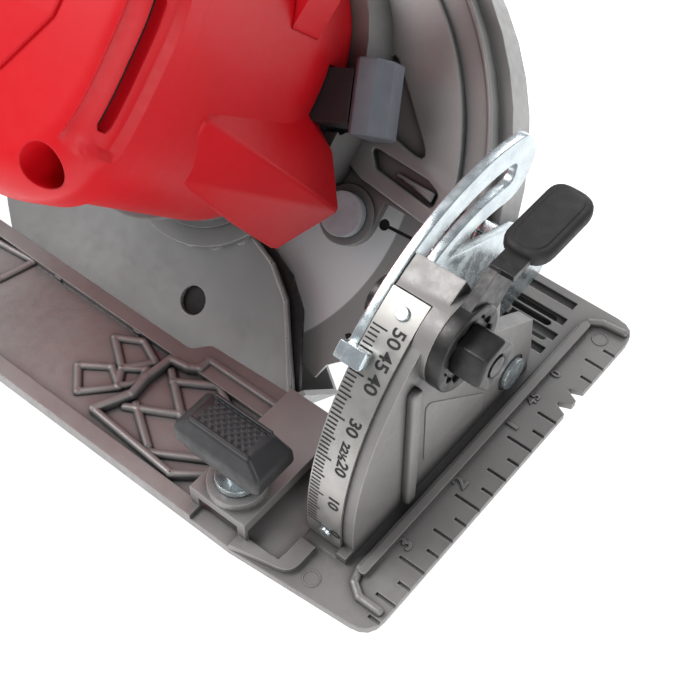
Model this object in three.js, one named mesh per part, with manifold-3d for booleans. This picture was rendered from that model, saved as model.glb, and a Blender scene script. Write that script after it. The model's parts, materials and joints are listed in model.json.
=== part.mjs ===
// Cordless circular saw, blade on the left, shown tilted over on its shoe.
// Millimetres, +Z up, +X forward along the cut, +Y towards the blade side.
// The origin is on the sole, on the square-cut line, under the front bevel pivot.
import * as THREE from 'three';
import { mergeVertices } from 'three/addons/utils/BufferGeometryUtils.js';
import { ConvexGeometry } from 'three/addons/geometries/ConvexGeometry.js';
import Module from 'manifold-3d';

const wasm = await Module();
wasm.setup();

// ---------------------------------------------------------------- driving dimensions
const gap = 0.3;                  // clearance between neighbouring pieces
const degree = Math.PI / 180;

// blade and drive
const bladeRadius = 82.5;
const bladeThickness = 1.6;
const bladeTeeth = 24;
const boreRadius = 7.94;
const arborX = -116.3;
const arborZ = 24.6;              // height of the arbor over the sole, saw upright, full depth
const gearModule = 1.25;
const gearTeeth = 31;
const pinionTeeth = 9;
const gearAngle = 70.6;           // direction from the arbor to the motor axis, degrees above +X
const centreDistance = gearModule * (gearTeeth + pinionTeeth) / 2;
const motorX = arborX + centreDistance * Math.cos(gearAngle * degree);
const motorZ = arborZ + centreDistance * Math.sin(gearAngle * degree);

// shoe
const shoeFront = 26;
const shoeRear = -248;
const shoeMotorSide = -99.8;
const shoeBladeSide = 32.5;
const shoeFlare = 4;              // the motor side widens by this much behind the front strip
const shoeThickness = 2.4;
const ribHeight = 4.6;
const shoeCorner = 7;
const wellFront = -21;            // the opening that the blade and the guard pass through
const wellRear = -226;
const wellMotorSide = -56;
const wellStep = 5;               // the opening is this much wider towards the rear
const wellStepX = -74;
const wellBladeSide = 21.5;

// bevel gear: axis along X
const bevelY = -11.6;
const bevelZ = 11;
const restBevel = 45;
const scaleRadius = 74;
const scaleThickness = 0.8;
const bracketFront = 8;
const bracketRear = -7;
const scaleWidth = 11.5;
const quadrantThickness = 3;
const slotRadius = 62;
const slotWidth = 6.6;
const lockBoltAngle = 35;
const lockBoltRadius = 2.9;

// upper and lower guards
const upperRadius = 97;
const rimLip = 4;
const upperWall = 3;
const upperHalfWidth = 16;
const lowerRadius = 88;
const lowerWall = 1.8;
const lowerHalfWidth = 11.4;
const lowerLeading = -38;         // angles round the arbor, degrees above +X
const lowerSweep = 170;
const guardBossRadius = 21;

// motor housing and gear case
const housingX = -117;            // middle of the oval housing
const housingZ = 55;
const housingWide = 51;           // half width along X
const housingTall = 49.5;         // half height
const housingWall = 2.6;
const caseWall = 3.2;
const caseMotorRadius = 37;
const caseArborRadius = 28;
const flangeThickness = 19.2;
const gearCaseNear = -upperHalfWidth - gap;
const gearCaseFar = -44;
const bearingPlateThickness = 4;
const housingNear = -36;
const motorNear = gearCaseFar - bearingPlateThickness - 2 * gap;
const housingFar = -140;
const domeDepth = 12;

// depth adjustment
const depthPivotX = -21;
const depthPivotZ = 38;
const depthPinRadius = 4;
const depthTravel = 30;
const earRadius = 9;
const depthLockX = -182;
const depthLockZ = 73;
const depthBoltRadius = 3;

// spindle lock, pushed in towards the drive gear
const lockAngle = 22;
const lockMiddle = [-53.5, 63.5]; // middle of the push cap
const lockY = -42;
const lockHalfDepth = 7;
const lockHalfWidth = 7.6;
const lockTravel = 5;

// handle and battery
const handleMiddle = -62;
const handleHalfWidth = 16.5;
const handleBottom = 62;
const railHalfWidth = 11.5;
const railHeight = 8;
const batteryFront = -184;
const batteryLength = 114;
const batteryHalfWidth = 37;
const batteryBottom = 14;
const batteryTop = handleBottom - gap;
const triggerTravel = 12;

// ---------------------------------------------------------------- finishes
const finishes = {
  magnesium: new THREE.MeshStandardMaterial({ color: 0x85837f, roughness: 0.55, metalness: 0.6 }),
  red: new THREE.MeshStandardMaterial({ color: 0xc8202c, roughness: 0.5, metalness: 0 }),
  black: new THREE.MeshStandardMaterial({ color: 0x1d1d1f, roughness: 0.6, metalness: 0 }),
  rubber: new THREE.MeshStandardMaterial({ color: 0x151516, roughness: 0.85, metalness: 0 }),
  zinc: new THREE.MeshStandardMaterial({ color: 0xc9d2d6, roughness: 0.3, metalness: 0.9 }),
  steel: new THREE.MeshStandardMaterial({ color: 0xb9babd, roughness: 0.35, metalness: 0.9 }),
  darkSteel: new THREE.MeshStandardMaterial({ color: 0x2b2c2e, roughness: 0.45, metalness: 0.7 }),
  copper: new THREE.MeshStandardMaterial({ color: 0xb06a35, roughness: 0.4, metalness: 0.8 }),
  board: new THREE.MeshStandardMaterial({ color: 0x1f5a3a, roughness: 0.6, metalness: 0 }),
  lens: new THREE.MeshStandardMaterial({ color: 0xe8edf2, roughness: 0.1, metalness: 0 }),
  slate: new THREE.MeshStandardMaterial({ color: 0x5c6066, roughness: 0.55, metalness: 0.1 }),
};

// ---------------------------------------------------------------- helpers
function solid(geometry) {
  const bare = geometry.index ? geometry.toNonIndexed() : geometry.clone();
  bare.deleteAttribute('normal');
  bare.deleteAttribute('uv');
  const merged = mergeVertices(bare, 1e-4);
  const corners = [];
  for (let i = 0; i < merged.index.count; i += 3) {
    const [a, b, c] = [0, 1, 2].map((k) => merged.index.getX(i + k));
    if (a !== b && b !== c && c !== a) corners.push(a, b, c);
  }
  const build = (order) => new wasm.Manifold(new wasm.Mesh({
    numProp: 3,
    vertProperties: new Float32Array(merged.attributes.position.array),
    triVerts: new Uint32Array(order),
  }));
  const body = build(corners);
  return body.volume() > 0 ? body : build(corners.reverse());
}

function join(...pieces) {
  return pieces.reduce((whole, piece) => whole.add(piece));
}

function cut(body, ...tools) {
  return tools.reduce((whole, tool) => whole.subtract(tool), body);
}

function toGeometry(manifold) {
  const mesh = manifold.getMesh();
  const geometry = new THREE.BufferGeometry();
  const count = mesh.vertProperties.length / mesh.numProp;
  const positions = new Float32Array(count * 3);
  for (let i = 0; i < count; i += 1) {
    positions.set(mesh.vertProperties.subarray(i * mesh.numProp, i * mesh.numProp + 3), i * 3);
  }
  geometry.setAttribute('position', new THREE.BufferAttribute(positions, 3));
  geometry.setIndex(new THREE.BufferAttribute(new Uint32Array(mesh.triVerts), 1));
  return geometry;
}

function shapeOf(points, holes = []) {
  const shape = new THREE.Shape(points.map(([a, b]) => new THREE.Vector2(a, b)));
  holes.forEach((hole) => shape.holes.push(new THREE.Path(hole.map(([a, b]) => new THREE.Vector2(a, b)))));
  return shape;
}

// an outline in X and Z, made thick from y = near to y = far
function slabY(points, near, far, holes = []) {
  const geometry = new THREE.ExtrudeGeometry(shapeOf(points, holes), {
    depth: Math.abs(far - near), bevelEnabled: false, curveSegments: 12,
  });
  geometry.rotateX(Math.PI / 2);
  geometry.translate(0, Math.max(near, far), 0);
  return solid(geometry);
}

// an outline in Y and Z, made thick from x = low to x = high
function slabX(points, low, high, holes = []) {
  const geometry = new THREE.ExtrudeGeometry(shapeOf(points, holes), {
    depth: high - low, bevelEnabled: false, curveSegments: 12,
  });
  geometry.rotateX(Math.PI / 2);
  geometry.rotateZ(Math.PI / 2);
  geometry.translate(low, 0, 0);
  return solid(geometry);
}

// an outline in X and Y, made thick from z = low to z = high
function slabZ(points, low, high, holes = []) {
  const geometry = new THREE.ExtrudeGeometry(shapeOf(points, holes), {
    depth: high - low, bevelEnabled: false, curveSegments: 12,
  });
  geometry.translate(0, 0, low);
  return solid(geometry);
}

function box(x0, x1, y0, y1, z0, z1) {
  const geometry = new THREE.BoxGeometry(x1 - x0, y1 - y0, z1 - z0);
  geometry.translate((x0 + x1) / 2, (y0 + y1) / 2, (z0 + z1) / 2);
  return solid(geometry);
}

function circle(a, b, radius, segments = 32, turn = 0) {
  return Array.from({ length: segments }, (unused, i) => {
    const angle = (turn + 360 * i / segments) * degree;
    return [a + radius * Math.cos(angle), b + radius * Math.sin(angle)];
  });
}

function arc(a, b, radius, from, to, steps) {
  return Array.from({ length: steps + 1 }, (unused, i) => {
    const angle = (from + (to - from) * i / steps) * degree;
    return [a + radius * Math.cos(angle), b + radius * Math.sin(angle)];
  });
}

function ringSector(a, b, inner, outer, from, to, steps) {
  return [...arc(a, b, outer, from, to, steps), ...arc(a, b, inner, to, from, steps)];
}

// a rectangle with rounded corners
function roundedBox(a0, a1, b0, b1, radius, steps = 4) {
  return [
    ...arc(a1 - radius, b1 - radius, radius, 0, 90, steps),
    ...arc(a0 + radius, b1 - radius, radius, 90, 180, steps),
    ...arc(a0 + radius, b0 + radius, radius, 180, 270, steps),
    ...arc(a1 - radius, b0 + radius, radius, 270, 360, steps),
  ];
}

// an outline whose corners are rounded by radii given per point: [a, b, radius]
function rounded(points, steps = 4) {
  const result = [];
  points.forEach(([a, b, radius = 0], i) => {
    const [pa, pb] = points[(i + points.length - 1) % points.length];
    const [na, nb] = points[(i + 1) % points.length];
    const toPrevious = new THREE.Vector2(pa - a, pb - b).normalize();
    const toNext = new THREE.Vector2(na - a, nb - b).normalize();
    if (!radius) {
      result.push([a, b]);
      return;
    }
    const half = Math.acos(THREE.MathUtils.clamp(toPrevious.dot(toNext), -1, 1)) / 2;
    const reach = radius / Math.tan(half);
    const start = toPrevious.clone().multiplyScalar(reach).add(new THREE.Vector2(a, b));
    const end = toNext.clone().multiplyScalar(reach).add(new THREE.Vector2(a, b));
    const curve = new THREE.QuadraticBezierCurve(start, new THREE.Vector2(a, b), end);
    curve.getPoints(steps).forEach((p) => result.push([p.x, p.y]));
  });
  return result;
}

function rodY(x, z, radius, near, far, segments = 24) {
  return slabY(circle(x, z, radius, segments), near, far);
}

function tubeY(x, z, inner, outer, near, far, segments = 28) {
  return slabY(circle(x, z, outer, segments), near, far, [circle(x, z, inner, segments)]);
}

function rodX(y, z, radius, low, high, segments = 20) {
  return slabX(circle(y, z, radius, segments), low, high);
}

function rodZ(x, y, radius, low, high, segments = 20) {
  return slabZ(circle(x, y, radius, segments), low, high);
}

// involute gear outline with thinned, shortened teeth so that it runs free
function gearOutline(a, b, teeth, turn) {
  const pitch = gearModule * teeth / 2;
  const base = pitch * Math.cos(20 * degree);
  const tip = pitch + 0.75 * gearModule;
  const root = pitch - 1.1 * gearModule;
  const play = 0.28 / pitch;
  const involute = (r) => Math.sqrt(Math.max(0, (r / base) ** 2 - 1)) - Math.acos(Math.min(1, base / r));
  const halfAtPitch = Math.PI / (2 * teeth) - play + involute(pitch);
  const radii = [root, pitch, tip];
  const points = [];
  for (let i = 0; i < teeth; i += 1) {
    const middle = turn * degree + 2 * Math.PI * i / teeth;
    radii.forEach((r) => points.push([r, middle - (halfAtPitch - involute(Math.max(r, base)))]));
    [...radii].reverse().forEach((r) => {
      points.push([r, middle + (halfAtPitch - involute(Math.max(r, base)))]);
    });
  }
  return points.map(([r, angle]) => [a + r * Math.cos(angle), b + r * Math.sin(angle)]);
}

// point on a bevel circle: angle from upright towards the motor side
function bevelPoint(radius, angle) {
  return [bevelY - radius * Math.sin(angle * degree), bevelZ + radius * Math.cos(angle * degree)];
}

function bevelArc(radius, from, to, steps) {
  return Array.from({ length: steps + 1 }, (unused, i) => bevelPoint(radius, from + (to - from) * i / steps));
}

// ---------------------------------------------------------------- scene graph
const saw = new THREE.Group();
const tilted = new THREE.Group();   // everything that leans over with the blade
tilted.position.set(0, bevelY, bevelZ);
tilted.rotation.x = -restBevel * degree;
saw.add(tilted);
const upright = new THREE.Group();  // the same, in the coordinates of the upright saw
upright.position.set(0, -bevelY, -bevelZ);
tilted.add(upright);

function place(parent, name, body, finish) {
  const mesh = new THREE.Mesh(toGeometry(body), finishes[finish]);
  mesh.name = name;
  parent.add(mesh);
  return mesh;
}

// ================================================================ shoe
const bossX = -27;                // clamping screw of the rip fence
const bossY = -91;
const scaleRear = bracketRear;
const scaleHigh = 31.8;
const scaleLow = 96;
const bracketTopAngle = 24;
const bracketHubRadius = 15;
const lockBolt = bevelPoint(slotRadius, lockBoltAngle);
const bracketRight = -3;

function makeShoe() {
  const outline = rounded([
    [shoeFront, shoeMotorSide, shoeCorner], [shoeFront, shoeBladeSide, shoeCorner],
    [shoeRear, shoeBladeSide, shoeCorner], [shoeRear, shoeMotorSide - shoeFlare, shoeCorner],
    [-20, shoeMotorSide - shoeFlare, 4],
  ]);
  const well = rounded([
    [wellFront, wellMotorSide + 4, 8], [wellFront, wellBladeSide, 6],
    [wellRear, wellBladeSide, 6], [wellRear, wellMotorSide - wellStep, 8],
    [wellStepX, wellMotorSide - wellStep, 3], [wellStepX + 4, wellMotorSide, 3],
  ].reverse());
  const plate = slabZ(outline, 0, shoeThickness, [well]);
  // raised border along the two long sides and the rear
  const border = 5;
  const panelFront = shoeFront - 27;
  const inner = roundedBox(shoeRear + border, panelFront - border, shoeMotorSide - shoeFlare + border,
    wellMotorSide - wellStep - border, 3);
  const panel = rounded([
    [panelFront, shoeMotorSide, 5], [panelFront, wellMotorSide + 3, 2], [wellStepX + 4, wellMotorSide, 3],
    [wellStepX, wellMotorSide - wellStep, 3], [shoeRear, wellMotorSide - wellStep, 5],
    [shoeRear, shoeMotorSide - shoeFlare, 5], [-20, shoeMotorSide - shoeFlare, 4],
  ]);
  const frame = slabZ(panel, 0, ribHeight, [inner]);
  const bladeRail = box(wellRear, wellFront, shoeBladeSide - 4, shoeBladeSide, 0, ribHeight);
  // crossed ribs on the motor side
  const ribs = [];
  const ribSpan = wellMotorSide - wellStep - shoeMotorSide + shoeFlare - border;
  for (let i = 0; i < 4; i += 1) {
    const start = shoeRear + 14 + i * 52;
    [1, -1].forEach((lean) => {
      const x0 = start + (lean > 0 ? 0 : ribSpan * 1.1);
      const x1 = start + (lean > 0 ? ribSpan * 1.1 : 0);
      ribs.push(slabZ([
        [x0 - 1.3, shoeMotorSide - shoeFlare + 2], [x0 + 1.3, shoeMotorSide - shoeFlare + 2],
        [x1 + 1.3, wellMotorSide - wellStep - 2], [x1 - 1.3, wellMotorSide - wellStep - 2],
      ], shoeThickness - 0.5, ribHeight - 0.6));
    });
  }
  // ridge round the front ruler strip
  const ridge = slabZ(roundedBox(12, 14.5, shoeMotorSide + 12, shoeBladeSide - 9, 1), 0, ribHeight);
  // bevel bracket: a curved wall with a front web, a boss for the lock bolt and a pivot lug
  const wallOuter = scaleRadius - scaleThickness - gap;
  const curvedWall = slabX([
    ...bevelArc(wallOuter, 96, bracketTopAngle, 18), ...bevelArc(wallOuter - 5, bracketTopAngle, 96, 18),
  ], bracketRear, bracketFront);
  const web = slabX([
    ...bevelArc(wallOuter, 96, bracketTopAngle, 18),
    bevelPoint(slotRadius - bracketHubRadius, 22), [-23, 53], [-22, 40], [bracketRight, 27], [-1, 10.5],
    [bevelY + 9, 2], [wellMotorSide - 30, 1],
  ], bracketFront - 5, bracketFront);
  const lugRear = -6.6;
  const hub = rodX(lockBolt[0], lockBolt[1], bracketHubRadius - 2.5, lugRear, bracketFront + 2, 28);
  const pivotLug = join(
    rodX(bevelY, bevelZ, 9, lugRear, bracketFront - 0.5, 24),
    box(lugRear, bracketFront - 0.5, bevelY - 9, bevelY + 9, 0.5, bevelZ),
  );
  const foot = box(lugRear, bracketFront, bevelY - 76, bevelY + 10, 0.5, 5.5);
  // rip-fence boss with its clamping screw, and the slot the fence slides through
  const fenceBoss = join(
    box(bossX - 10, bossX + 10, shoeMotorSide, -70, 0, 12),
    rodZ(bossX, bossY, 8.6, 0, 15, 24),
  );
  const fenceBar = box(bossX - 10, bossX + 10, -70.2, wellMotorSide - 1, 0, 12);
  const fenceSlot = box(bossX - 7.2, bossX + 7.2, shoeMotorSide - 5, wellMotorSide + 4, 3, 9);
  const screwHole = rodZ(bossX, bossY, 3.6, 8, 20, 20);
  // rear pivot lug
  const rearLug = join(
    rodX(bevelY, bevelZ, 8.5, shoeRear + 2, shoeRear + 10, 24),
    box(shoeRear + 2, shoeRear + 10, bevelY - 8.5, bevelY + 8.5, 0.5, bevelZ),
  );
  const pinHoles = [
    rodX(bevelY, bevelZ, 4 + gap, -40, 30, 20),
    rodX(bevelY, bevelZ, 4 + gap, shoeRear - 5, shoeRear + 20, 20),
    rodX(lockBolt[0], lockBolt[1], lockBoltRadius + gap, -20, 20, 16),
  ];
  // two sight notches for the cut line, upright and tilted
  const notches = [0, -6.24].map((y) => slabZ([
    [shoeFront - 4, y - 0.4], [shoeFront + 1, y - 2.6], [shoeFront + 1, y + 2.6], [shoeFront - 4, y + 0.4],
  ], -1, 8));
  // slots through the front plate beside the well
  const slots = Array.from({ length: 3 }, (unused, i) => slabZ(
    roundedBox(-14, 4 + 2 * (i === 0), 10.5 + i * 5.6 - 2 * (i === 2), 13 + i * 5.6 - 2 * (i === 2), 1.2, 2),
    -1, 8,
  ));
  const pinRecess = rodX(bevelY, bevelZ, 6.2, bracketFront - 0.5, 20, 24);
  const scaleSeat = slabX([
    ...bevelArc(scaleRadius + 4, scaleLow + 0.3, scaleHigh - 0.3, 20),
    ...bevelArc(scaleRadius - scaleThickness - gap, scaleHigh - 0.3, scaleLow + 0.3, 20),
  ], scaleRear - 1, scaleRear + scaleWidth + gap);
  const swing = join(...pinHoles, pinRecess, scaleSeat);
  const body = join(plate, frame, bladeRail, ...ribs, ridge, curvedWall, web, hub, pivotLug, foot,
    fenceBoss, fenceBar, rearLug);
  return cut(body, swing, fenceSlot, screwHole, ...notches, ...slots);
}
place(saw, 'shoe', makeShoe(), 'magnesium');

// scale plate bent round the bracket, with its two rivets
const scalePlate = slabX([
  ...bevelArc(scaleRadius, scaleLow, scaleHigh, 20),
  ...bevelArc(scaleRadius - scaleThickness, scaleHigh, scaleLow, 20),
], scaleRear, scaleRear + scaleWidth);
place(saw, 'bevel_scale_plate', scalePlate, 'steel');
[['scale_rivet_upper', 35.7], ['scale_rivet_lower', 91.8]].forEach(([name, angle]) => {
  const rivet = new THREE.CylinderGeometry(1.7, 2, 0.8, 14);
  const body = solid(rivet);
  const mesh = place(saw, name, body, 'zinc');
  const [y, z] = bevelPoint(scaleRadius + gap / 2 + 0.4, angle);
  mesh.position.set(scaleRear + scaleWidth * 0.55, y, z);
  mesh.rotation.x = (angle + 90) * degree;
});

// bevel pivot pins and the lock bolt
function headedPinX(y, z, radius, headRadius, low, high, headAt, headLength) {
  return join(rodX(y, z, radius, low, high), rodX(y, z, headRadius, headAt, headAt + headLength));
}
const quadrantFront = bracketRear - gap - 0.1;
const quadrantRear = quadrantFront - quadrantThickness;
place(saw, 'front_bevel_pin',
  headedPinX(bevelY, bevelZ, 4, 5.2, quadrantRear - 2.5, bracketFront + 1, bracketFront - 0.5 + gap, 1.6),
  'zinc');
const rearArmX = shoeRear + 12;
place(saw, 'rear_bevel_pin',
  headedPinX(bevelY, bevelZ, 4, 5.2, shoeRear + 1, rearArmX + 6, shoeRear + 2 - gap - 1.6, 1.6), 'zinc');
const lockBoltBody = join(
  rodX(...lockBolt, lockBoltRadius, quadrantRear - 3.6, bracketFront + 15),
  rodX(...lockBolt, 6, quadrantRear - gap - 3.3, quadrantRear - gap, 20),
);
place(saw, 'bevel_lock_bolt', lockBoltBody, 'darkSteel');

// bevel lock lever: ring, arm, folded paddle and hexagon nut
const leverRear = bracketFront + 2 + gap;
const leverThickness = 3;
const ringRadius = 12.5;
const kneeY = -31;
const kneeZ = 78.5;
function makeLever() {
  const ring = slabX(circle(...lockBolt, ringRadius, 36), leverRear, leverRear + leverThickness,
    [circle(...lockBolt, 5.2, 20)]);
  const arm = slabX([
    [lockBolt[0] - 1, lockBolt[1] + 11.5], [lockBolt[0] + 11, lockBolt[1] + 1],
    [kneeY + 5, kneeZ - 7], [kneeY + 2, kneeZ + 1.5], [kneeY - 5, kneeZ + 1.5],
  ], leverRear, leverRear + leverThickness);
  const tongue = box(leverRear, leverRear + 7, kneeY - 4, kneeY + 20, kneeZ, kneeZ + 1.8);
  return join(ring, arm, tongue);
}
const lever = makeLever();
place(saw, 'bevel_lock_lever', lever, 'darkSteel');
const paddleGrow = 2.2;
const paddle = slabZ(roundedBox(leverRear - 3.5, leverRear + 9.5, kneeY + 4, kneeY + 30, 4.5),
  kneeZ + 0.9 - paddleGrow, kneeZ + 0.9 + paddleGrow);
const paddleSlot = box(leverRear - gap, leverRear + 7 + gap, kneeY - 8, kneeY + 20 + gap,
  kneeZ - gap, kneeZ + 1.8 + gap);
const armSlot = box(leverRear - gap, leverRear + leverThickness + gap, kneeY - 8, kneeY + 6,
  kneeZ - 12, kneeZ + 1.8 + gap);
place(saw, 'lever_paddle', cut(paddle, paddleSlot, armSlot), 'rubber');
const nutBore = [circle(...lockBolt, lockBoltRadius + gap, 16)];
const nutFace = leverRear + leverThickness + gap;
place(saw, 'bevel_lock_nut', join(
  slabX(circle(...lockBolt, 4.9, 20), leverRear, nutFace + 0.5, nutBore),
  slabX(circle(...lockBolt, 7.5, 6, 8), nutFace, nutFace + 9, nutBore),
), 'black');

// rip-fence thumb screw
const knobHalfLength = 14.8;
const knobHalfHeight = 7.8;
const knobHalfWidth = 7.4;
const knobZ = 32.4;
place(saw, 'fence_screw_stud', join(
  rodZ(bossX, bossY, 3.1, 9.4, 27.5, 18), rodZ(bossX, bossY, 6.2, 15 + gap, 17.5, 20),
), 'zinc');
const knobEnd = 4.6;
const knobOutline = rounded([-1, 1].flatMap((end) => [
  [end * (knobHalfLength - knobEnd), end * -knobHalfHeight, 2], [end * knobHalfLength, end * -2.4, 2],
  [end * knobHalfLength, end * 2.4, 2], [end * (knobHalfLength - knobEnd), end * knobHalfHeight, 2],
]), 2);
const knob = slabY(knobOutline, -knobHalfWidth, knobHalfWidth).translate([bossX, bossY, knobZ]);
place(saw, 'fence_screw_knob', cut(knob, rodZ(bossX, bossY, 3.1 + gap, 0, 27.5 + gap, 18)), 'black');

// ================================================================ bevel quadrant (leans with the saw)
const earInner = 9.8;
function makeQuadrant() {
  const turn = restBevel;           // angles are given for the upright saw
  const band = slabX([
    ...bevelArc(scaleRadius - 0.6, -22 + turn, 49 + turn, 18), ...bevelArc(52, 49 + turn, -22 + turn, 18),
  ], quadrantRear, quadrantFront);
  const web = slabX([
    bevelPoint(54, 96), bevelPoint(54, 62), [bevelY - 12, depthPivotZ + 12], [16, depthPivotZ + 12],
    [16, depthPivotZ - 1.5], [bevelY + 4.6, bevelZ - 2.2],
    [bevelY - 3, bevelZ - 8], [bevelY - 9, bevelZ - 4],
  ], quadrantRear, quadrantFront);
  const slot = slabX([
    ...bevelArc(slotRadius + slotWidth / 2, -16 + turn, 44 + turn, 16),
    ...bevelArc(slotRadius - slotWidth / 2, 44 + turn, -16 + turn, 16),
  ], quadrantRear - 1, quadrantFront + 1);
  const pivotHole = rodX(bevelY, bevelZ, 4 + gap, quadrantRear - 1, quadrantFront + 1, 20);
  const pointer = slabX([
    ...bevelArc(scaleRadius - 1, 45.5 + turn, 49.5 + turn, 2),
    ...bevelArc(scaleRadius + 4.5, 49.5 + turn, 45.5 + turn, 2),
  ], quadrantRear, quadrantFront);
  const pointerTip = slabX([
    ...bevelArc(scaleRadius + gap + 1, 45.5 + turn, 49.5 + turn, 2),
    ...bevelArc(scaleRadius + 4.5, 49.5 + turn, 45.5 + turn, 2),
  ], quadrantFront - 0.1, quadrantFront + 5.5);
  const ears = [-1, 1].map((side) => {
    const near = side > 0 ? earInner : -earInner - quadrantThickness;
    return join(
      slabY([
        [quadrantRear + 0.5, depthPivotZ + earRadius - 0.5], [depthPivotX, depthPivotZ + earRadius - 0.5],
        [depthPivotX, depthPivotZ - earRadius + 0.5], [quadrantRear + 0.5, depthPivotZ - earRadius + 0.5],
      ], near, near + quadrantThickness),
      rodY(depthPivotX, depthPivotZ, earRadius - 0.5, near, near + quadrantThickness, 24),
    );
  });
  const pinHole = rodY(depthPivotX, depthPivotZ, depthPinRadius + gap, -30, 30, 20);
  return cut(join(band, web, pointer, pointerTip, ...ears), slot, pivotHole, pinHole);
}
place(upright, 'bevel_quadrant', makeQuadrant(), 'zinc');
const pinHeadFace = earInner + quadrantThickness + gap;
const depthPin = join(
  rodY(depthPivotX, depthPivotZ, depthPinRadius, -pinHeadFace, pinHeadFace + 1, 20),
  rodY(depthPivotX, depthPivotZ, 6, pinHeadFace, pinHeadFace + 2.6, 20),
);
place(upright, 'depth_pivot_pin', depthPin, 'zinc');

// rear depth arm: hangs on the shoe's rear pin and carries the slot of the depth lock
const armNear = -upperHalfWidth - 2.6;
const armThickness = 3;
const armFar = armNear - armThickness;
const armRadius = Math.hypot(depthLockX - depthPivotX, depthLockZ - depthPivotZ);
const lockDirection = Math.atan2(depthLockZ - depthPivotZ, depthLockX - depthPivotX) / degree;
function makeDepthArm() {
  const low = lockDirection + 8;
  const high = lockDirection - depthTravel - 4;
  const halfBand = 8;
  const strip = slabY(ringSector(depthPivotX, depthPivotZ, armRadius - halfBand, armRadius + halfBand,
    high, low, 14), armNear, armFar);
  const slotHalf = depthBoltRadius + gap + 0.2;
  const slot = slabY(ringSector(depthPivotX, depthPivotZ, armRadius - slotHalf, armRadius + slotHalf,
    high + 2.6, lockDirection + 1.4, 14), armNear + 1, armFar - 1);
  const foot = slabY([
    [depthPivotX - armRadius + 8.5, depthPivotZ + 20], [depthPivotX - armRadius - 6, depthPivotZ + 19],
    [rearArmX, 24],
    [rearArmX, bevelZ - 6], [rearArmX + 11, bevelZ - 6],
  ], armNear, armFar);
  const toe = join(
    rodX(bevelY, bevelZ, 8, rearArmX, rearArmX + 3, 28),
    box(rearArmX, rearArmX + 3, armFar, bevelY, bevelZ - 6, bevelZ + 8),
  );
  const pivotHole = rodX(bevelY, bevelZ, 4 + gap, rearArmX - 2, rearArmX + 6, 20);
  return cut(join(strip, toe, foot), slot, pivotHole);
}
place(upright, 'depth_arm', makeDepthArm(), 'zinc');

// ================================================================ guards
const wallNear = -upperHalfWidth;
const guardCutZ = 36;
const rimNear = wallNear + 7;
const rimFar = wallNear + 22;
const stopScrew = [-60, 27];
const stopBossFar = wallNear - 1;
function makeUpperGuard() {
  const cover = (radius, near, far) => rodY(arborX, arborZ, radius, near, far, 56);
  const inside = cover(upperRadius - 4, wallNear + upperWall, upperHalfWidth - upperWall);
  const shell = cut(
    join(cover(upperRadius, wallNear, upperHalfWidth), cover(upperRadius + rimLip, rimNear, rimFar)),
    inside,
    box(-300, 60, -60, 60, -160, guardCutZ),
    rodY(arborX, arborZ, 36, upperHalfWidth - upperWall - 1, upperHalfWidth + 1, 36),
  );
  const bearingFlange = rodY(arborX, arborZ, 34, wallNear, wallNear + upperWall, 40);
  const noseRod = rodY(depthPivotX, depthPivotZ, earRadius - 0.5, -earInner + 0.4, earInner - 0.4, 24);
  const nose = cut(noseRod, inside);
  const stopBoss = join(
    rodY(...stopScrew, 9.5, stopBossFar, wallNear + upperWall, 28),
    box(stopScrew[0] - 9.5, stopScrew[0] + 9.5, wallNear, wallNear + upperWall,
      stopScrew[1], guardCutZ + 1),
  );
  const lockPad = cut(slabY([
    [depthLockX - 10, depthLockZ - 14], [depthLockX + 12, depthLockZ - 14],
    [depthLockX + 12, depthLockZ + 14], [depthLockX - 4, depthLockZ + 12],
    [depthLockX - 10, depthLockZ + 4],
  ], wallNear - 2, wallNear + 6), inside);
  const solidPart = join(shell, bearingFlange, nose, lockPad, stopBoss);
  const earRoom = [-1, 1].map((side) => rodY(depthPivotX, depthPivotZ, earRadius + 0.6,
    side * (earInner - 0.4), side * 20, 24));
  return cut(solidPart, ...earRoom,
    rodY(arborX, arborZ, guardBossRadius + gap, -40, 0, 36),
    rodY(depthPivotX, depthPivotZ, depthPinRadius + gap, -30, 30, 20),
    rodY(...stopScrew, 3.3, -30, 0, 18),
    rodY(depthLockX, depthLockZ, depthBoltRadius + gap, -40, 0, 18));
}
place(upright, 'upper_guard', makeUpperGuard(), 'magnesium');
place(upright, 'guard_stop_screw', join(
  rodY(...stopScrew, 3, stopBossFar - gap - 3, wallNear + 2, 16),
  rodY(...stopScrew, 7, stopBossFar - gap - 3, stopBossFar - gap, 24),
), 'zinc');

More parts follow.
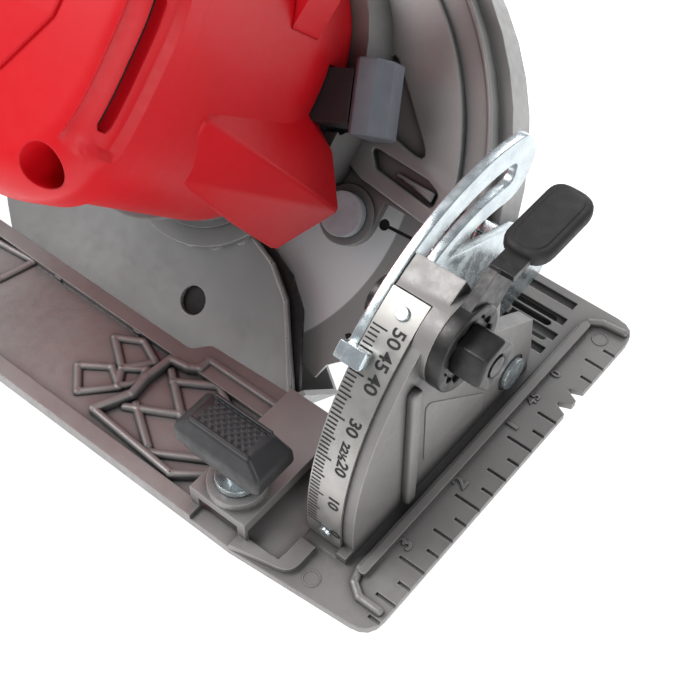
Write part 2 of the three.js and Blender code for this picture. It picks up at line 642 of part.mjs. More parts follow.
const lowerNear = -lowerHalfWidth;
function makeLowerGuard() {
  const trailing = lowerLeading - lowerSweep;
  const sector = (inner, outer, near, far) => slabY(
    ringSector(arborX, arborZ, inner, outer, trailing, lowerLeading, 30), near, far,
  );
  const leading = [[lowerRadius, -41], [69, -37], [57.7, -33], [45, -31.6], [31, -37], [18, -50]];
  const motorWall = slabY([
    ...arc(arborX, arborZ, lowerRadius, trailing, leading[0][1], 30),
    ...leading.slice(1).map(([r, angle]) => arc(arborX, arborZ, r, angle, angle, 1)[0]),
    ...arc(arborX, arborZ, 18, leading[5][1] - 20, trailing, 12),
  ], lowerNear, lowerNear + lowerWall);
  const bladeWall = sector(46, lowerRadius, lowerHalfWidth - lowerWall, lowerHalfWidth);
  const rim = sector(lowerRadius - lowerWall, lowerRadius, lowerNear, lowerHalfWidth);
  const hub = rodY(arborX, arborZ, 27, lowerNear - 1, lowerNear + 2.4, 36);
  const spot = arc(arborX, arborZ, 51.6, -70, -70, 1)[0];
  const studs = [-77, -60, -43].map((angle) => {
    const [x, z] = arc(arborX, arborZ, 32, angle, angle, 1)[0];
    return rodY(x, z, 2.6, lowerNear - 1.3, lowerNear + 1, 14);
  });
  return cut(join(motorWall, bladeWall, rim, hub, ...studs),
    rodY(...spot, 5, -20, 0, 18), rodY(arborX, arborZ, guardBossRadius + gap, -20, 0, 36));
}
place(upright, 'lower_guard', makeLowerGuard(), 'magnesium');

// ================================================================ blade, flanges, spindle, gear train
function makeBlade() {
  const step = 360 / bladeTeeth;
  const outline = [];
  const at = (radius, angle) => [
    arborX + radius * Math.cos(angle * degree), arborZ + radius * Math.sin(angle * degree),
  ];
  const phase = -42.7;
  const tooth = [[0, 0], [7.8, 1.3], [7.2, 2.6], [3.4, 3.7], [0.6, 4.5], [2.5, 8.5], [0.8, 12.7]];
  for (let i = 0; i < bladeTeeth; i += 1) {
    tooth.forEach(([drop, turn]) => outline.push(at(bladeRadius - drop, phase + i * step + turn)));
  }
  const keyholes = Array.from({ length: 4 }, (unused, i) => {
    const angle = (3.2 + i * 90) * degree;
    const along = (r, side) => [
      arborX + r * Math.cos(angle) - side * Math.sin(angle),
      arborZ + r * Math.sin(angle) + side * Math.cos(angle),
    ];
    return join(
      rodY(...along(62, 0), 1.9, -3, 3, 12),
      slabY([
        along(62, -0.55), along(bladeRadius - 4, -0.55), along(bladeRadius - 4, 0.55), along(62, 0.55),
      ], -3, 3),
    );
  });
  const disc = slabY(outline, -bladeThickness / 2, bladeThickness / 2,
    [circle(arborX, arborZ, boreRadius, 32)]);
  return cut(disc, ...keyholes);
}
place(upright, 'blade', makeBlade(), 'steel');

const spindleRadius = boreRadius - gap;
const halfBlade = bladeThickness / 2;
const gearNear = -26;
const gearFar = -36;
const spindleEnd = gearCaseFar - bearingPlateThickness;
const spindle = cut(
  rodY(arborX, arborZ, spindleRadius, spindleEnd, halfBlade, 28),
  rodY(arborX, arborZ, 4.2, -20, 5, 18),
);
place(upright, 'spindle', spindle, 'steel');
place(upright, 'inner_flange',
  tubeY(arborX, arborZ, spindleRadius + gap, 17, -halfBlade - gap - 5, -halfBlade - gap), 'darkSteel');
place(upright, 'outer_flange',
  tubeY(arborX, arborZ, 4.2, 17, halfBlade + gap, halfBlade + gap + 3.6), 'darkSteel');
const boltHeadNear = halfBlade + gap + 3.6 + gap;
const bladeBolt = join(
  rodY(arborX, arborZ, 3.9, -16, boltHeadNear + 1, 18),
  slabY(circle(arborX, arborZ, 7.4, 6), boltHeadNear, boltHeadNear + 6),
  rodY(arborX, arborZ, 9.5, boltHeadNear, boltHeadNear + 1.6, 24),
);
place(upright, 'blade_bolt', bladeBolt, 'darkSteel');

const driveGear = slabY(gearOutline(arborX, arborZ, gearTeeth, gearAngle), gearNear, gearFar,
  [circle(arborX, arborZ, spindleRadius + gap, 28)]);
place(upright, 'drive_gear', driveGear, 'steel');
const shaftRadius = 4;
const shaft = join(
  slabY(gearOutline(motorX, motorZ, pinionTeeth, gearAngle + 180 + 180 / pinionTeeth),
    gearNear + 1, gearFar - 1),
  rodY(motorX, motorZ, shaftRadius, gearFar - 0.5, housingFar + domeDepth - 6, 20),
);
place(upright, 'motor_shaft', shaft, 'steel');

// bearings
const ballBearings = [
  ['spindle_bearing_outer', arborX, arborZ, spindleRadius + gap, 15, -14, -23],
  ['spindle_bearing_inner', arborX, arborZ, spindleRadius + gap, 14, gearCaseFar + 6, gearCaseFar],
  ['motor_bearing_front', motorX, motorZ, shaftRadius + gap, 9.5, gearCaseFar + 5, gearCaseFar],
  ['motor_bearing_rear', motorX, motorZ, shaftRadius + gap, 9.5,
    housingFar + domeDepth, housingFar + domeDepth + 6],
];
ballBearings.forEach(([name, x, z, inner, outer, near, far]) => {
  place(upright, name, tubeY(x, z, inner, outer, near, far, 24), 'steel');
});

// ================================================================ gear case
// a straight bar along the push direction of the spindle lock
function lockBar(from, to, halfWidth, near, far, offset = 0) {
  const geometry = new THREE.BoxGeometry(to - from, Math.abs(far - near), 2 * halfWidth);
  geometry.translate((from + to) / 2, (near + far) / 2, offset);
  geometry.rotateY(-lockAngle * degree);
  geometry.translate(lockMiddle[0], 0, lockMiddle[1]);
  return solid(geometry);
}
const lockWell = lockBar(-26 - lockTravel, 10, lockHalfWidth + 2 * gap,
  lockY - lockHalfDepth - 2 * gap, lockY + lockHalfDepth + 2 * gap);
const capHalfWidth = 10.5;
const capHalfDepth = lockHalfDepth + 1.5;
const capWell = lockBar(-6.5 - lockTravel, 10, capHalfWidth + 2 * gap,
  lockY - capHalfDepth - 2 * gap, lockY + capHalfDepth + 2 * gap);
const pinRadius = 2.8;
const pinY = -33.5;
const pinDrop = -6;
const gearTip = gearModule * gearTeeth / 2 + 0.75 * gearModule;
const lockAlong = (lockMiddle[0] - arborX) * Math.cos(lockAngle * degree)
  + (lockMiddle[1] - arborZ) * Math.sin(lockAngle * degree);
const pinEnd = gearTip + 0.4 + lockTravel - lockAlong;
function lockPin(grow, from, to) {
  const geometry = new THREE.CylinderGeometry(pinRadius + grow, pinRadius + grow, to - from, 16);
  geometry.rotateZ(Math.PI / 2);
  geometry.translate((from + to) / 2, pinY, pinDrop);
  geometry.rotateY(-lockAngle * degree);
  geometry.translate(lockMiddle[0], 0, lockMiddle[1]);
  return solid(geometry);
}
const pinWell = join(
  lockPin(2 * gap, pinEnd - lockTravel - 2, 0),
  lockBar(-26 - lockTravel, -8, lockHalfWidth + 2 * gap, pinY - 4, pinY + pinRadius + 1.5),
);

// the housing's section, squarer below than above
function housingOutline(grow) {
  return Array.from({ length: 44 }, (unused, i) => {
    const angle = 2 * Math.PI * i / 44;
    const power = 2 / (Math.sin(angle) < 0 ? 3 : 2.1);
    const along = (value) => Math.sign(value) * Math.abs(value) ** power;
    return [
      housingX + (housingWide + grow) * along(Math.cos(angle)),
      housingZ + (housingTall + grow) * along(Math.sin(angle)),
    ];
  });
}

// a skin stretched over outlines that stand at successive y values
function loftY(sections) {
  const count = sections[0].points.length;
  const positions = sections.flatMap(({ y, points }) => points.flatMap(([x, z]) => [x, y, z]));
  const index = [];
  for (let k = 0; k + 1 < sections.length; k += 1) {
    for (let i = 0; i < count; i += 1) {
      const a = k * count + i;
      const b = k * count + (i + 1) % count;
      index.push(a, b, a + count, b, b + count, a + count);
    }
  }
  const last = (sections.length - 1) * count;
  for (let i = 1; i + 1 < count; i += 1) index.push(0, i + 1, i, last, last + i, last + i + 1);
  const geometry = new THREE.BufferGeometry();
  geometry.setAttribute('position', new THREE.Float32BufferAttribute(positions, 3));
  geometry.setIndex(index);
  return solid(geometry);
}

function makeGearCase() {
  const flange = cut(
    slabY(housingOutline(1), gearCaseNear, gearCaseNear - flangeThickness),
    box(-90, 0, -60, 0, -60, guardCutZ - 3),
    box(-200, 0, -60, 0, -60, 12),
    box(-300, depthLockX + 14, -60, 0, -60, 200),
  );
  const shell = join(
    rodY(motorX, motorZ, caseMotorRadius, gearCaseNear, gearCaseFar, 44),
    rodY(arborX, arborZ, caseArborRadius, gearCaseNear, gearCaseFar, 36),
  );
  const room = join(
    rodY(motorX, motorZ, caseMotorRadius - caseWall, gearCaseNear - caseWall, gearCaseFar - 1, 40),
    rodY(arborX, arborZ, caseArborRadius - caseWall, gearCaseNear - caseWall, gearCaseFar - 1, 36),
  );
  const boss = rodY(arborX, arborZ, guardBossRadius, lowerNear + lowerWall + 1, gearCaseNear - 1, 36);
  const seat = rodY(arborX, arborZ, 18.5, gearCaseNear - 2, -23, 28);
  const body = join(cut(join(flange, shell), room), boss, seat);
  return cut(body, rodY(arborX, arborZ, 15 + gap, 0, -23 - gap, 28), rodY(arborX, arborZ, 12, -20, -30, 24),
    lockWell, pinWell, capWell, rodY(...stopScrew, 9.5 + gap, -30, -10, 24));
}
place(upright, 'gear_case', makeGearCase(), 'magnesium');

function makeBearingPlate() {
  const near = gearCaseFar - gap;
  const far = near - bearingPlateThickness;
  const body = join(
    rodY(motorX, motorZ, caseMotorRadius, near, far, 44),
    rodY(arborX, arborZ, caseArborRadius, near, far, 36),
  );
  const seats = join(
    rodY(motorX, motorZ, 12.5, near - 1, gearCaseFar + 5, 24),
    rodY(arborX, arborZ, 17, near - 1, gearCaseFar + 6, 24),
  );
  return cut(join(body, seats),
    rodY(motorX, motorZ, 9.5 + gap, 0, gearCaseFar - gap, 24),
    rodY(arborX, arborZ, 14 + gap, 0, gearCaseFar - gap, 24),
    rodY(motorX, motorZ, shaftRadius + 1, 0, -80, 20),
    rodY(arborX, arborZ, spindleRadius + 1, 0, -80, 24),
    lockWell, pinWell);
}
place(upright, 'bearing_plate', makeBearingPlate(), 'magnesium');

// ================================================================ motor
const fanNear = motorNear - 2;
const fanDepth = 9;
const statorNear = fanNear - fanDepth - 12;
const statorLength = 32;
const statorFar = statorNear - statorLength;
const statorRadius = 34;
place(upright, 'stator', tubeY(motorX, motorZ, 20, statorRadius, statorNear, statorFar, 36), 'darkSteel');
const windings = [['winding_front', statorNear + gap, 8], ['winding_rear', statorFar - gap, -8]];
windings.forEach(([name, from, length]) => {
  place(upright, name, tubeY(motorX, motorZ, 22, 30, from, from + length, 32), 'copper');
});
place(upright, 'rotor', tubeY(motorX, motorZ, shaftRadius + gap, 19, statorNear + 1, statorFar - 1, 28),
  'darkSteel');
function makeFan() {
  const bladeTotal = 9;
  const body = [
    rodY(motorX, motorZ, 9, fanNear, fanNear - fanDepth, 24),
    rodY(motorX, motorZ, 33, fanNear, fanNear - 1.6, 36),
  ];
  for (let i = 0; i < bladeTotal; i += 1) {
    const a = i * 360 / bladeTotal * degree;
    const along = (r, s) => [
      motorX + r * Math.cos(a) - s * Math.sin(a), motorZ + r * Math.sin(a) + s * Math.cos(a),
    ];
    body.push(slabY([along(6, -0.8), along(33, -0.8), along(33, 0.8), along(6, 0.8)],
      fanNear - 1, fanNear - fanDepth));
  }
  return cut(join(...body), rodY(motorX, motorZ, shaftRadius + gap, 0, -90, 20));
}
place(upright, 'cooling_fan', makeFan(), 'black');

// ================================================================ motor housing
function housingBody(grow, near, far, dome) {
  const steps = 4;
  const sections = [{ y: near, points: housingOutline(grow) }];
  for (let i = 0; i <= steps; i += 1) {
    const angle = 80 * i / steps * degree;
    sections.push({
      y: far + dome * (1 - Math.sin(angle)),
      points: housingOutline(grow - dome * (1 - Math.cos(angle))),
    });
  }
  return loftY(sections);
}
// faceted nose under the spindle lock
function nosePrism(inset) {
  const corners = [
    [-52, -36, 28], [-65, -36, 9], [-62, -36, 44], [-90, -36, 6], [-90, -36, 60],
    [-54, -52, 30], [-67, -54, 12], [-64, -50, 44], [-90, -52, 60],
    [-86, -76, 16], [-82, -84, 40], [-100, -84, 30],
  ];
  const middle = [-84, -52, 32];
  return solid(new ConvexGeometry(corners.map((point) => {
    const shifted = point.map((value, i) => value + Math.sign(middle[i] - value) * inset);
    return new THREE.Vector3(...shifted);
  })));
}
function makeHousing() {
  const outer = join(housingBody(0, housingNear, housingFar, domeDepth), nosePrism(0));
  const inner = join(
    housingBody(-housingWall, housingNear + 4, housingFar + housingWall, domeDepth - 1),
    nosePrism(3),
  );
  const seat = rodY(motorX, motorZ, 13, housingFar + 1.5, housingFar + 18, 24);
  const caseRoom = join(
    rodY(motorX, motorZ, caseMotorRadius + gap, 0, motorNear, 44),
    rodY(arborX, arborZ, caseArborRadius + gap, 0, motorNear, 36),
  );
  const endVents = Array.from({ length: 4 }, (unused, i) => slabY(
    ringSector(motorX, motorZ, 22, 26, -34 + i * 90, 12 + i * 90, 6), housingFar - 5, housingFar + 15,
  ));
  const sideVents = Array.from({ length: 4 }, (unused, i) => box(motorX + 20, 0,
    -78 - i * 7, -75 - i * 7, 62, 82));
  return cut(join(cut(outer, inner), seat), caseRoom, lockWell, pinWell, ...endVents, ...sideVents,
    rodY(motorX, motorZ, 9.5 + gap, housingFar + 10, 0, 24),
    rodY(motorX, motorZ, shaftRadius + 1, housingFar + 4, 0, 20));
}
place(upright, 'motor_housing', makeHousing(), 'red');

// spindle lock: stem with its locking pin, and the push cap
place(upright, 'spindle_lock_stem', join(
  lockBar(-26, -6.5, lockHalfWidth, lockY - lockHalfDepth, lockY + lockHalfDepth),
  lockBar(-26, -20, lockHalfWidth, lockY, pinY + pinRadius + 0.5),
  lockPin(0, pinEnd, -21),
), 'black');
place(upright, 'spindle_lock_cap',
  lockBar(-6.5 + gap, 3.5, capHalfWidth, lockY - capHalfDepth, lockY + capHalfDepth), 'slate');

// ================================================================ rear handle in two halves
const gripTop = rounded([
  [-146, 84, 6], [-142, 122, 12], [-176, 165, 16], [-204, 168, 12], [-292, 128, 14], [-304, 104, 10],
  [-304, handleBottom, 3], [batteryFront + 6, handleBottom, 2], [batteryFront + 14, 80, 4],
].reverse(), 3);
const gapFloor = handleBottom + railHeight + 5;
const fingerGap = rounded([
  [-190, gapFloor, 8], [-190, 126, 12], [-205, 135, 8], [-280, 99, 10], [-287, gapFloor, 8],
], 3);
const triggerPivot = [-200, 141];
const triggerHalfWidth = 7;
function triggerOutline(grow) {
  return rounded([
    [triggerPivot[0] + 5 + grow, triggerPivot[1] + 5 + grow, 2],
    [triggerPivot[0] - 26 - grow, 129 + grow, 2],
    [triggerPivot[0] - 29 - grow, 114 - grow, 3], [triggerPivot[0] - 12, 110 - grow, 6],
    [triggerPivot[0] + 5 + grow, 128 - grow, 4],
  ], 2);
}
const rockFree = 2.2;
function turnedTrigger(turn, grow, halfWidth) {
  const body = slabY(triggerOutline(grow), handleMiddle - halfWidth, handleMiddle + halfWidth);
  return body.translate([-triggerPivot[0], 0, -triggerPivot[1]]).rotate([0, turn, 0])
    .translate([triggerPivot[0], 0, triggerPivot[1]]);
}
const triggerPin = rodY(...triggerPivot, 2.2, handleMiddle - 12, handleMiddle + 12, 14);
const lockOffX = -182;
const lockOffZ = 146;
const lockOffRadius = 4.5;
const boardBox = [-184, -168, handleMiddle - 11, handleMiddle + 11, 86, 120];
function handleRooms() {
  const room = (points, half) => slabY(points, handleMiddle - half, handleMiddle + half);
  return [
    ...[0, triggerTravel / 2, triggerTravel + rockFree]
      .map((turn) => turnedTrigger(turn, 0.8, triggerHalfWidth + 0.6)),
    rodY(...triggerPivot, 2.2 + gap, handleMiddle - 12 - gap, handleMiddle + 12 + gap, 14),
    room([[-232, 149], [-262.8, 135.5], [-260.5, 115.5], [-233, 126.5]], 9.5),
    box(...boardBox),
    rodY(lockOffX, lockOffZ, lockOffRadius + gap, handleMiddle - 30, handleMiddle + 30, 20),
    rodY(lockOffX, lockOffZ, lockOffRadius + 2.8, handleMiddle - 4, handleMiddle + 8, 20),
    box(-320, -196, handleMiddle - railHalfWidth - 2 * gap, handleMiddle + railHalfWidth + 2 * gap,
      handleBottom - 2, handleBottom + railHeight + 2 * gap),
    box(-197, -188, handleMiddle - railHalfWidth, handleMiddle + railHalfWidth,
      handleBottom - 2, handleBottom + 10),
    ...handleScrews.map(([x, z]) => rodY(x, z, 1.7, -120, 0, 12)),
  ];
}
const handleScrews = [[-162, 140], [-296, 96], [-270, 122]];
const screwHeadDepth = 2.4;
function makeHandleHalf(side) {
  const whole = slabY(gripTop, handleMiddle - handleHalfWidth, handleMiddle + handleHalfWidth, [fingerGap]);
  const near = handleMiddle + (side > 0 ? gap / 2 : -40);
  const far = handleMiddle + (side > 0 ? 40 : -gap / 2);
  const half = cut(whole, box(-400, 0, side > 0 ? -200 : far, side > 0 ? near : 0, -50, 250));
  const heads = handleScrews.map(([x, z]) => rodY(x, z, 3.2, handleMiddle - handleHalfWidth - 1,
    handleMiddle - handleHalfWidth + screwHeadDepth + gap, 16));
  return cut(half, ...handleRooms(), ...(side < 0 ? heads : []),
    housingBody(gap, -10, housingFar - 2, domeDepth));
}
place(upright, 'handle_right', makeHandleHalf(-1), 'red');
place(upright, 'handle_left', makeHandleHalf(1), 'red');
handleScrews.forEach(([x, z], i) => {
  const head = handleMiddle - handleHalfWidth;
  place(upright, `handle_screw_${i + 1}`, join(
    rodY(x, z, 2.9, head, head + screwHeadDepth, 14), rodY(x, z, 1.4, head + 1, handleMiddle + 9, 10),
  ), 'darkSteel');
});
place(upright, 'trigger', join(turnedTrigger(0, 0, triggerHalfWidth), triggerPin), 'black');
place(upright, 'lock_off_button', join(
  rodY(lockOffX, lockOffZ, lockOffRadius,
    handleMiddle - handleHalfWidth - 1, handleMiddle + handleHalfWidth + 4, 18),
  rodY(lockOffX, lockOffZ, lockOffRadius + 2, handleMiddle + 4.4, handleMiddle + 6.4, 18),
), 'black');
place(upright, 'switch_module', slabY([[-238.5, 145.5], [-262, 134.6], [-259.8, 117], [-238, 127.4]],
  handleMiddle - 9, handleMiddle + 9), 'black');
place(upright, 'control_board', box(boardBox[0] + 6, boardBox[0] + 8, boardBox[2] + 1, boardBox[3] - 1,
  boardBox[4] + 1, boardBox[5] - 1), 'board');
place(upright, 'battery_terminal', box(-196.4, -188.6, handleMiddle - railHalfWidth + 1,
  handleMiddle + railHalfWidth - 1, handleBottom + 1.4, handleBottom + 9), 'black');

// ================================================================ front handle
const barX = -72;
const barZ = 140;
const barRadius = 11;
const sleeveRadius = 15;
const barNear = 4;
const barFar = -78;
function makeFrontHandle() {
  const bar = rodY(barX, barZ, barRadius, barFar, barNear, 28);
  const post = (near, far, low) => slabY([
    [barX - 11, barZ], [barX + 11, barZ], [barX + 4, low], [barX - 26, low],
  ], near, far);
  const body = join(bar, post(barNear, barNear - 12, 100), post(barFar + 14, barFar, 70));
  return cut(body, rodY(arborX, arborZ, upperRadius + rimLip + gap, -30, 30, 64),
    housingBody(gap, -10, housingFar - 2, domeDepth));
}
place(upright, 'front_handle', makeFrontHandle(), 'black');
place(upright, 'front_handle_sleeve', tubeY(barX, barZ, barRadius + gap, sleeveRadius, barNear - 12 - gap,
  barFar + 14 + gap, 28), 'rubber');

// ================================================================ depth lock
const depthFace = armFar - gap;
place(upright, 'depth_lock_bolt', join(
  rodY(depthLockX, depthLockZ, depthBoltRadius, wallNear + upperWall + 0.6, depthFace - 8, 16),
  slabY(circle(depthLockX, depthLockZ, 5.4, 6), depthFace - 6, depthFace - 8.8),
), 'zinc');
const depthLever = cut(
  join(
    rodY(depthLockX, depthLockZ, 9, depthFace, depthFace - 5.4, 28),
    slabY(rounded([
      [depthLockX - 2, depthLockZ + 8.6, 1], [depthLockX - 52, depthLockZ + 17, 5],
      [depthLockX - 54, depthLockZ + 6, 5], [depthLockX - 2, depthLockZ - 8.6, 1],
    ]), depthFace - 1, depthFace - 5.4),
  ),
  rodY(depthLockX, depthLockZ, depthBoltRadius + gap, 0, -60, 16),
);
place(upright, 'depth_lock_lever', depthLever, 'black');

// ================================================================ battery pack
const batteryRear = batteryFront - batteryLength;
const buttonX = batteryFront - 30;
const buttonSink = 4;
const batterySide = (side, depth) => handleMiddle + side * (batteryHalfWidth - depth);
function makeBatteryCase() {
  const outline = roundedBox(batteryRear, batteryFront, handleMiddle - batteryHalfWidth,
    handleMiddle + batteryHalfWidth, 8);
  const body = slabZ(outline, batteryBottom, batteryTop);
  const rail = box(batteryRear + 2, -197 - gap, handleMiddle - railHalfWidth, handleMiddle + railHalfWidth,
    batteryTop - 1, handleBottom + railHeight);
  const room = slabZ(roundedBox(batteryRear + 3, batteryFront - 3, handleMiddle - batteryHalfWidth + 8,
    handleMiddle + batteryHalfWidth - 8, 5), batteryBottom + 3, batteryTop - 6);
  const opening = box(batteryFront - 20, batteryFront - 8, handleMiddle - 8, handleMiddle + 8,
    batteryTop - 8, batteryTop + 1);
  const buttons = [-1, 1].map((side) => {
    const sides = [batterySide(side, -1), batterySide(side, buttonSink + 3)].sort((a, b) => a - b);
    return box(buttonX - 9 - gap, buttonX + 9 + gap, sides[0], sides[1], 30 - gap, 48 + gap);
  });
  return cut(join(body, rail), room, opening, ...buttons);
}
place(upright, 'battery_case', makeBatteryCase(), 'black');
place(upright, 'battery_cells', slabZ(roundedBox(batteryRear + 4, batteryFront - 4,
  handleMiddle - batteryHalfWidth + 9, handleMiddle + batteryHalfWidth - 9, 5),
  batteryBottom + 3 + gap, batteryTop - 7), 'steel');
[['battery_button_right', -1], ['battery_button_left', 1]].forEach(([name, side]) => {
  const sides = [batterySide(side, -0.8), batterySide(side, buttonSink)].sort((a, b) => a - b);
  place(upright, name, box(buttonX - 9, buttonX + 9, sides[0], sides[1], 30, 48), 'red');
});

export default saw;
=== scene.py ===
import json
import math

import bmesh
import bpy
from mathutils import Matrix, Vector


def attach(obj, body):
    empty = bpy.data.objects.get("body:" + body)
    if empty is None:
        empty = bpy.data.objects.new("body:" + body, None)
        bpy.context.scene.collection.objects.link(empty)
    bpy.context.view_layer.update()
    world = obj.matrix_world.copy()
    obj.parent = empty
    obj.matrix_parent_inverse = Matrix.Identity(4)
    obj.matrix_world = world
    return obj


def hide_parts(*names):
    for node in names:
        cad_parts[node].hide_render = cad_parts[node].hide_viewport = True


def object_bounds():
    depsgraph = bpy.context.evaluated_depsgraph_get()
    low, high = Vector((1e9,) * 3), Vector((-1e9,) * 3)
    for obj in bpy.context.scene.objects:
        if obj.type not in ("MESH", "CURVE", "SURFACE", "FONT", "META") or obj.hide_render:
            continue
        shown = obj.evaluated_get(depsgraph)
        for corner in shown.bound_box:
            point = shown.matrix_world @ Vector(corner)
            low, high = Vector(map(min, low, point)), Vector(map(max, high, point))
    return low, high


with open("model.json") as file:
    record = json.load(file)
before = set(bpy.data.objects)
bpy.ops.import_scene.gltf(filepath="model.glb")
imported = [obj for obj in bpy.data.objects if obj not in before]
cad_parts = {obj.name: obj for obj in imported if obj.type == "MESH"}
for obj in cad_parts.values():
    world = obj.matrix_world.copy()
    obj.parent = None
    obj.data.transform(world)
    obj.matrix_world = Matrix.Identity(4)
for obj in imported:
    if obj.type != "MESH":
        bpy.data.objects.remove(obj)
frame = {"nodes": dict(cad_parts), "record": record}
cad_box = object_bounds()
MM = 0.001
print("CAD box in mm:", [[round(v / MM, 1) for v in corner] for corner in cad_box])

# %% [markdown]
# The saw is drawn upright and then leans about the bevel pins, so most of its pieces
# are easiest to describe upright. One matrix carries upright millimetres to the real pose.
# Typing leaned positions by hand would work too, but every number would be unreadable.
# %% Upright and shoe frames
BEVEL_Y = -11.6
BEVEL_Z = 11.0
SHOE = Matrix.Scale(MM, 4)
LEAN = (
    SHOE
    @ Matrix.Translation((0, BEVEL_Y, BEVEL_Z))
    @ Matrix.Rotation(math.radians(-45), 4, "X")
    @ Matrix.Translation((0, -BEVEL_Y, -BEVEL_Z))
)
ARBOR = (-116.3, 24.6)
print("arbor in metres:", [round(v, 4) for v in LEAN @ Vector((ARBOR[0], 0, ARBOR[1]))])

# %% [markdown]
# The camera stands high over the front corner on the motor side and looks down steeply.
# A long lens keeps the shoe's edges almost parallel, as they are in a catalogue view.
# %% Camera
VIEW_FROM = Vector((0.120249, -0.225146, 0.322612))
VIEW_ALONG = Vector((-0.38776514, 0.48044849, -0.78664315))
VIEW_ROLL = 0.25
camera_data = bpy.data.cameras.new("product_camera")
camera_data.lens = 68.96
camera_data.sensor_width = 36
camera_data.clip_start = 0.01
camera = bpy.data.objects.new("product_camera", camera_data)
bpy.context.scene.collection.objects.link(camera)
turn = VIEW_ALONG.to_track_quat("-Z", "Y").to_matrix().to_4x4()
camera.matrix_world = (
    Matrix.Translation(VIEW_FROM) @ turn @ Matrix.Rotation(math.radians(VIEW_ROLL), 4, "Z")
)
bpy.context.scene.camera = camera
print("camera at", tuple(VIEW_FROM))

# %% [markdown]
# A tool like this is shown in a white sweep under large soft lamps.
# A plain pale floor just under the lowest tooth catches a faint shadow.
# Area lamps are chosen over a recorded studio: they are plain and always the same.
# %% Floor, lamps and tone
FLOOR_Z = cad_box[0].z - 0.0005
scene = bpy.context.scene
scene.view_settings.view_transform = "Standard"
scene.view_settings.look = "None"


def mesh_object(name, vertices, faces):
    mesh = bpy.data.meshes.new(name)
    mesh.from_pydata([tuple(v) for v in vertices], [], faces)
    mesh.validate()
    made = bpy.data.objects.new(name, mesh)
    scene.collection.objects.link(made)
    return made


FLOOR_HALF = 4
floor = mesh_object(
    "pale_floor",
    [(x * FLOOR_HALF, y * FLOOR_HALF, FLOOR_Z) for x, y in ((-1, -1), (1, -1), (1, 1), (-1, 1))],
    [(0, 1, 2, 3)],
)

world = bpy.data.worlds.new("pale_room")
world.use_nodes = True
world.node_tree.nodes["Background"].inputs["Color"].default_value = (0.93, 0.95, 1.0, 1)
world.node_tree.nodes["Background"].inputs["Strength"].default_value = 0.36
scene.world = world

LAMPS = [
    # name, place, target, width, power
    ("key_softbox", (-0.55, -0.35, 0.95), (-0.1, 0, 0), 0.6, 10.5),
    ("front_softbox", (0.75, -0.55, 0.5), (-0.05, 0, 0.02), 0.45, 3.2),
    ("back_strip", (-0.1, 0.9, 0.55), (-0.08, 0, 0.05), 0.5, 4.2),
]
for name, place, target, width, power in LAMPS:
    lamp_data = bpy.data.lights.new(name, "AREA")
    lamp_data.size = width
    lamp_data.energy = power
    lamp = bpy.data.objects.new(name, lamp_data)
    lamp.location = place
    lamp.rotation_euler = (Vector(target) - Vector(place)).to_track_quat("-Z", "Y").to_euler()
    scene.collection.objects.link(lamp)
print("lamps:", len(LAMPS), "floor at mm", round(FLOOR_Z / MM, 1))

# %% [markdown]
# Every finish here has the same four layers: two close tones in soft patches, a fine
# grain that lifts the surface by hundredths of a millimetre, a roughness that wanders
# a little, and paler, worn edges. Castings also get painted shade: their colour darkens
# in crevices. One recipe with different numbers makes a family of finishes that sit well
# together; painting each by hand would be slower and less even.
# %% The finish recipe


def tone(red, green, blue):
    """A colour as printed on a chart, 0 to 255, turned into light."""
    def light(value):
        part = value / 255
        return part / 12.92 if part <= 0.04045 else ((part + 0.055) / 1.055) ** 2.4
    return (light(red), light(green), light(blue), 1.0)


def noise(tree, place, size_mm, detail=3.0, stretch=None):
    """Cloudy pattern with features of about size_mm."""
    texture = tree.nodes.new("ShaderNodeTexNoise")
    texture.inputs["Scale"].default_value = 1 / (size_mm * MM)
    texture.inputs["Detail"].default_value = detail
    if stretch:
        mapping = tree.nodes.new("ShaderNodeMapping")
        mapping.inputs["Scale"].default_value = stretch
        tree.links.new(place, mapping.inputs["Vector"])
        place = mapping.outputs["Vector"]
    tree.links.new(place, texture.inputs["Vector"])
    return texture.outputs["Fac"]


def spread(tree, value, low, high, start=0.3, end=0.7):
    """Maps start..end of a pattern to low..high."""
    node = tree.nodes.new("ShaderNodeMapRange")
    node.inputs["From Min"].default_value = start
    node.inputs["From Max"].default_value = end
    node.inputs["To Min"].default_value = low
    node.inputs["To Max"].default_value = high
    tree.links.new(value, node.inputs["Value"])
    return node.outputs["Result"]


def blend_colour(tree, amount, first, second):
    node = tree.nodes.new("ShaderNodeMix")
    node.data_type = "RGBA"
    tree.links.new(amount, node.inputs["Factor"])
    for socket, colour in ((node.inputs[6], first), (node.inputs[7], second)):
        if isinstance(colour, tuple):
            socket.default_value = colour
        else:
            tree.links.new(colour, socket)
    return node.outputs[2]


FINISHES = {}
# Near black for the painted shade in crevices.
PAINTED_SHADE_COLOUR = (0.035, 0.034, 0.034, 1)


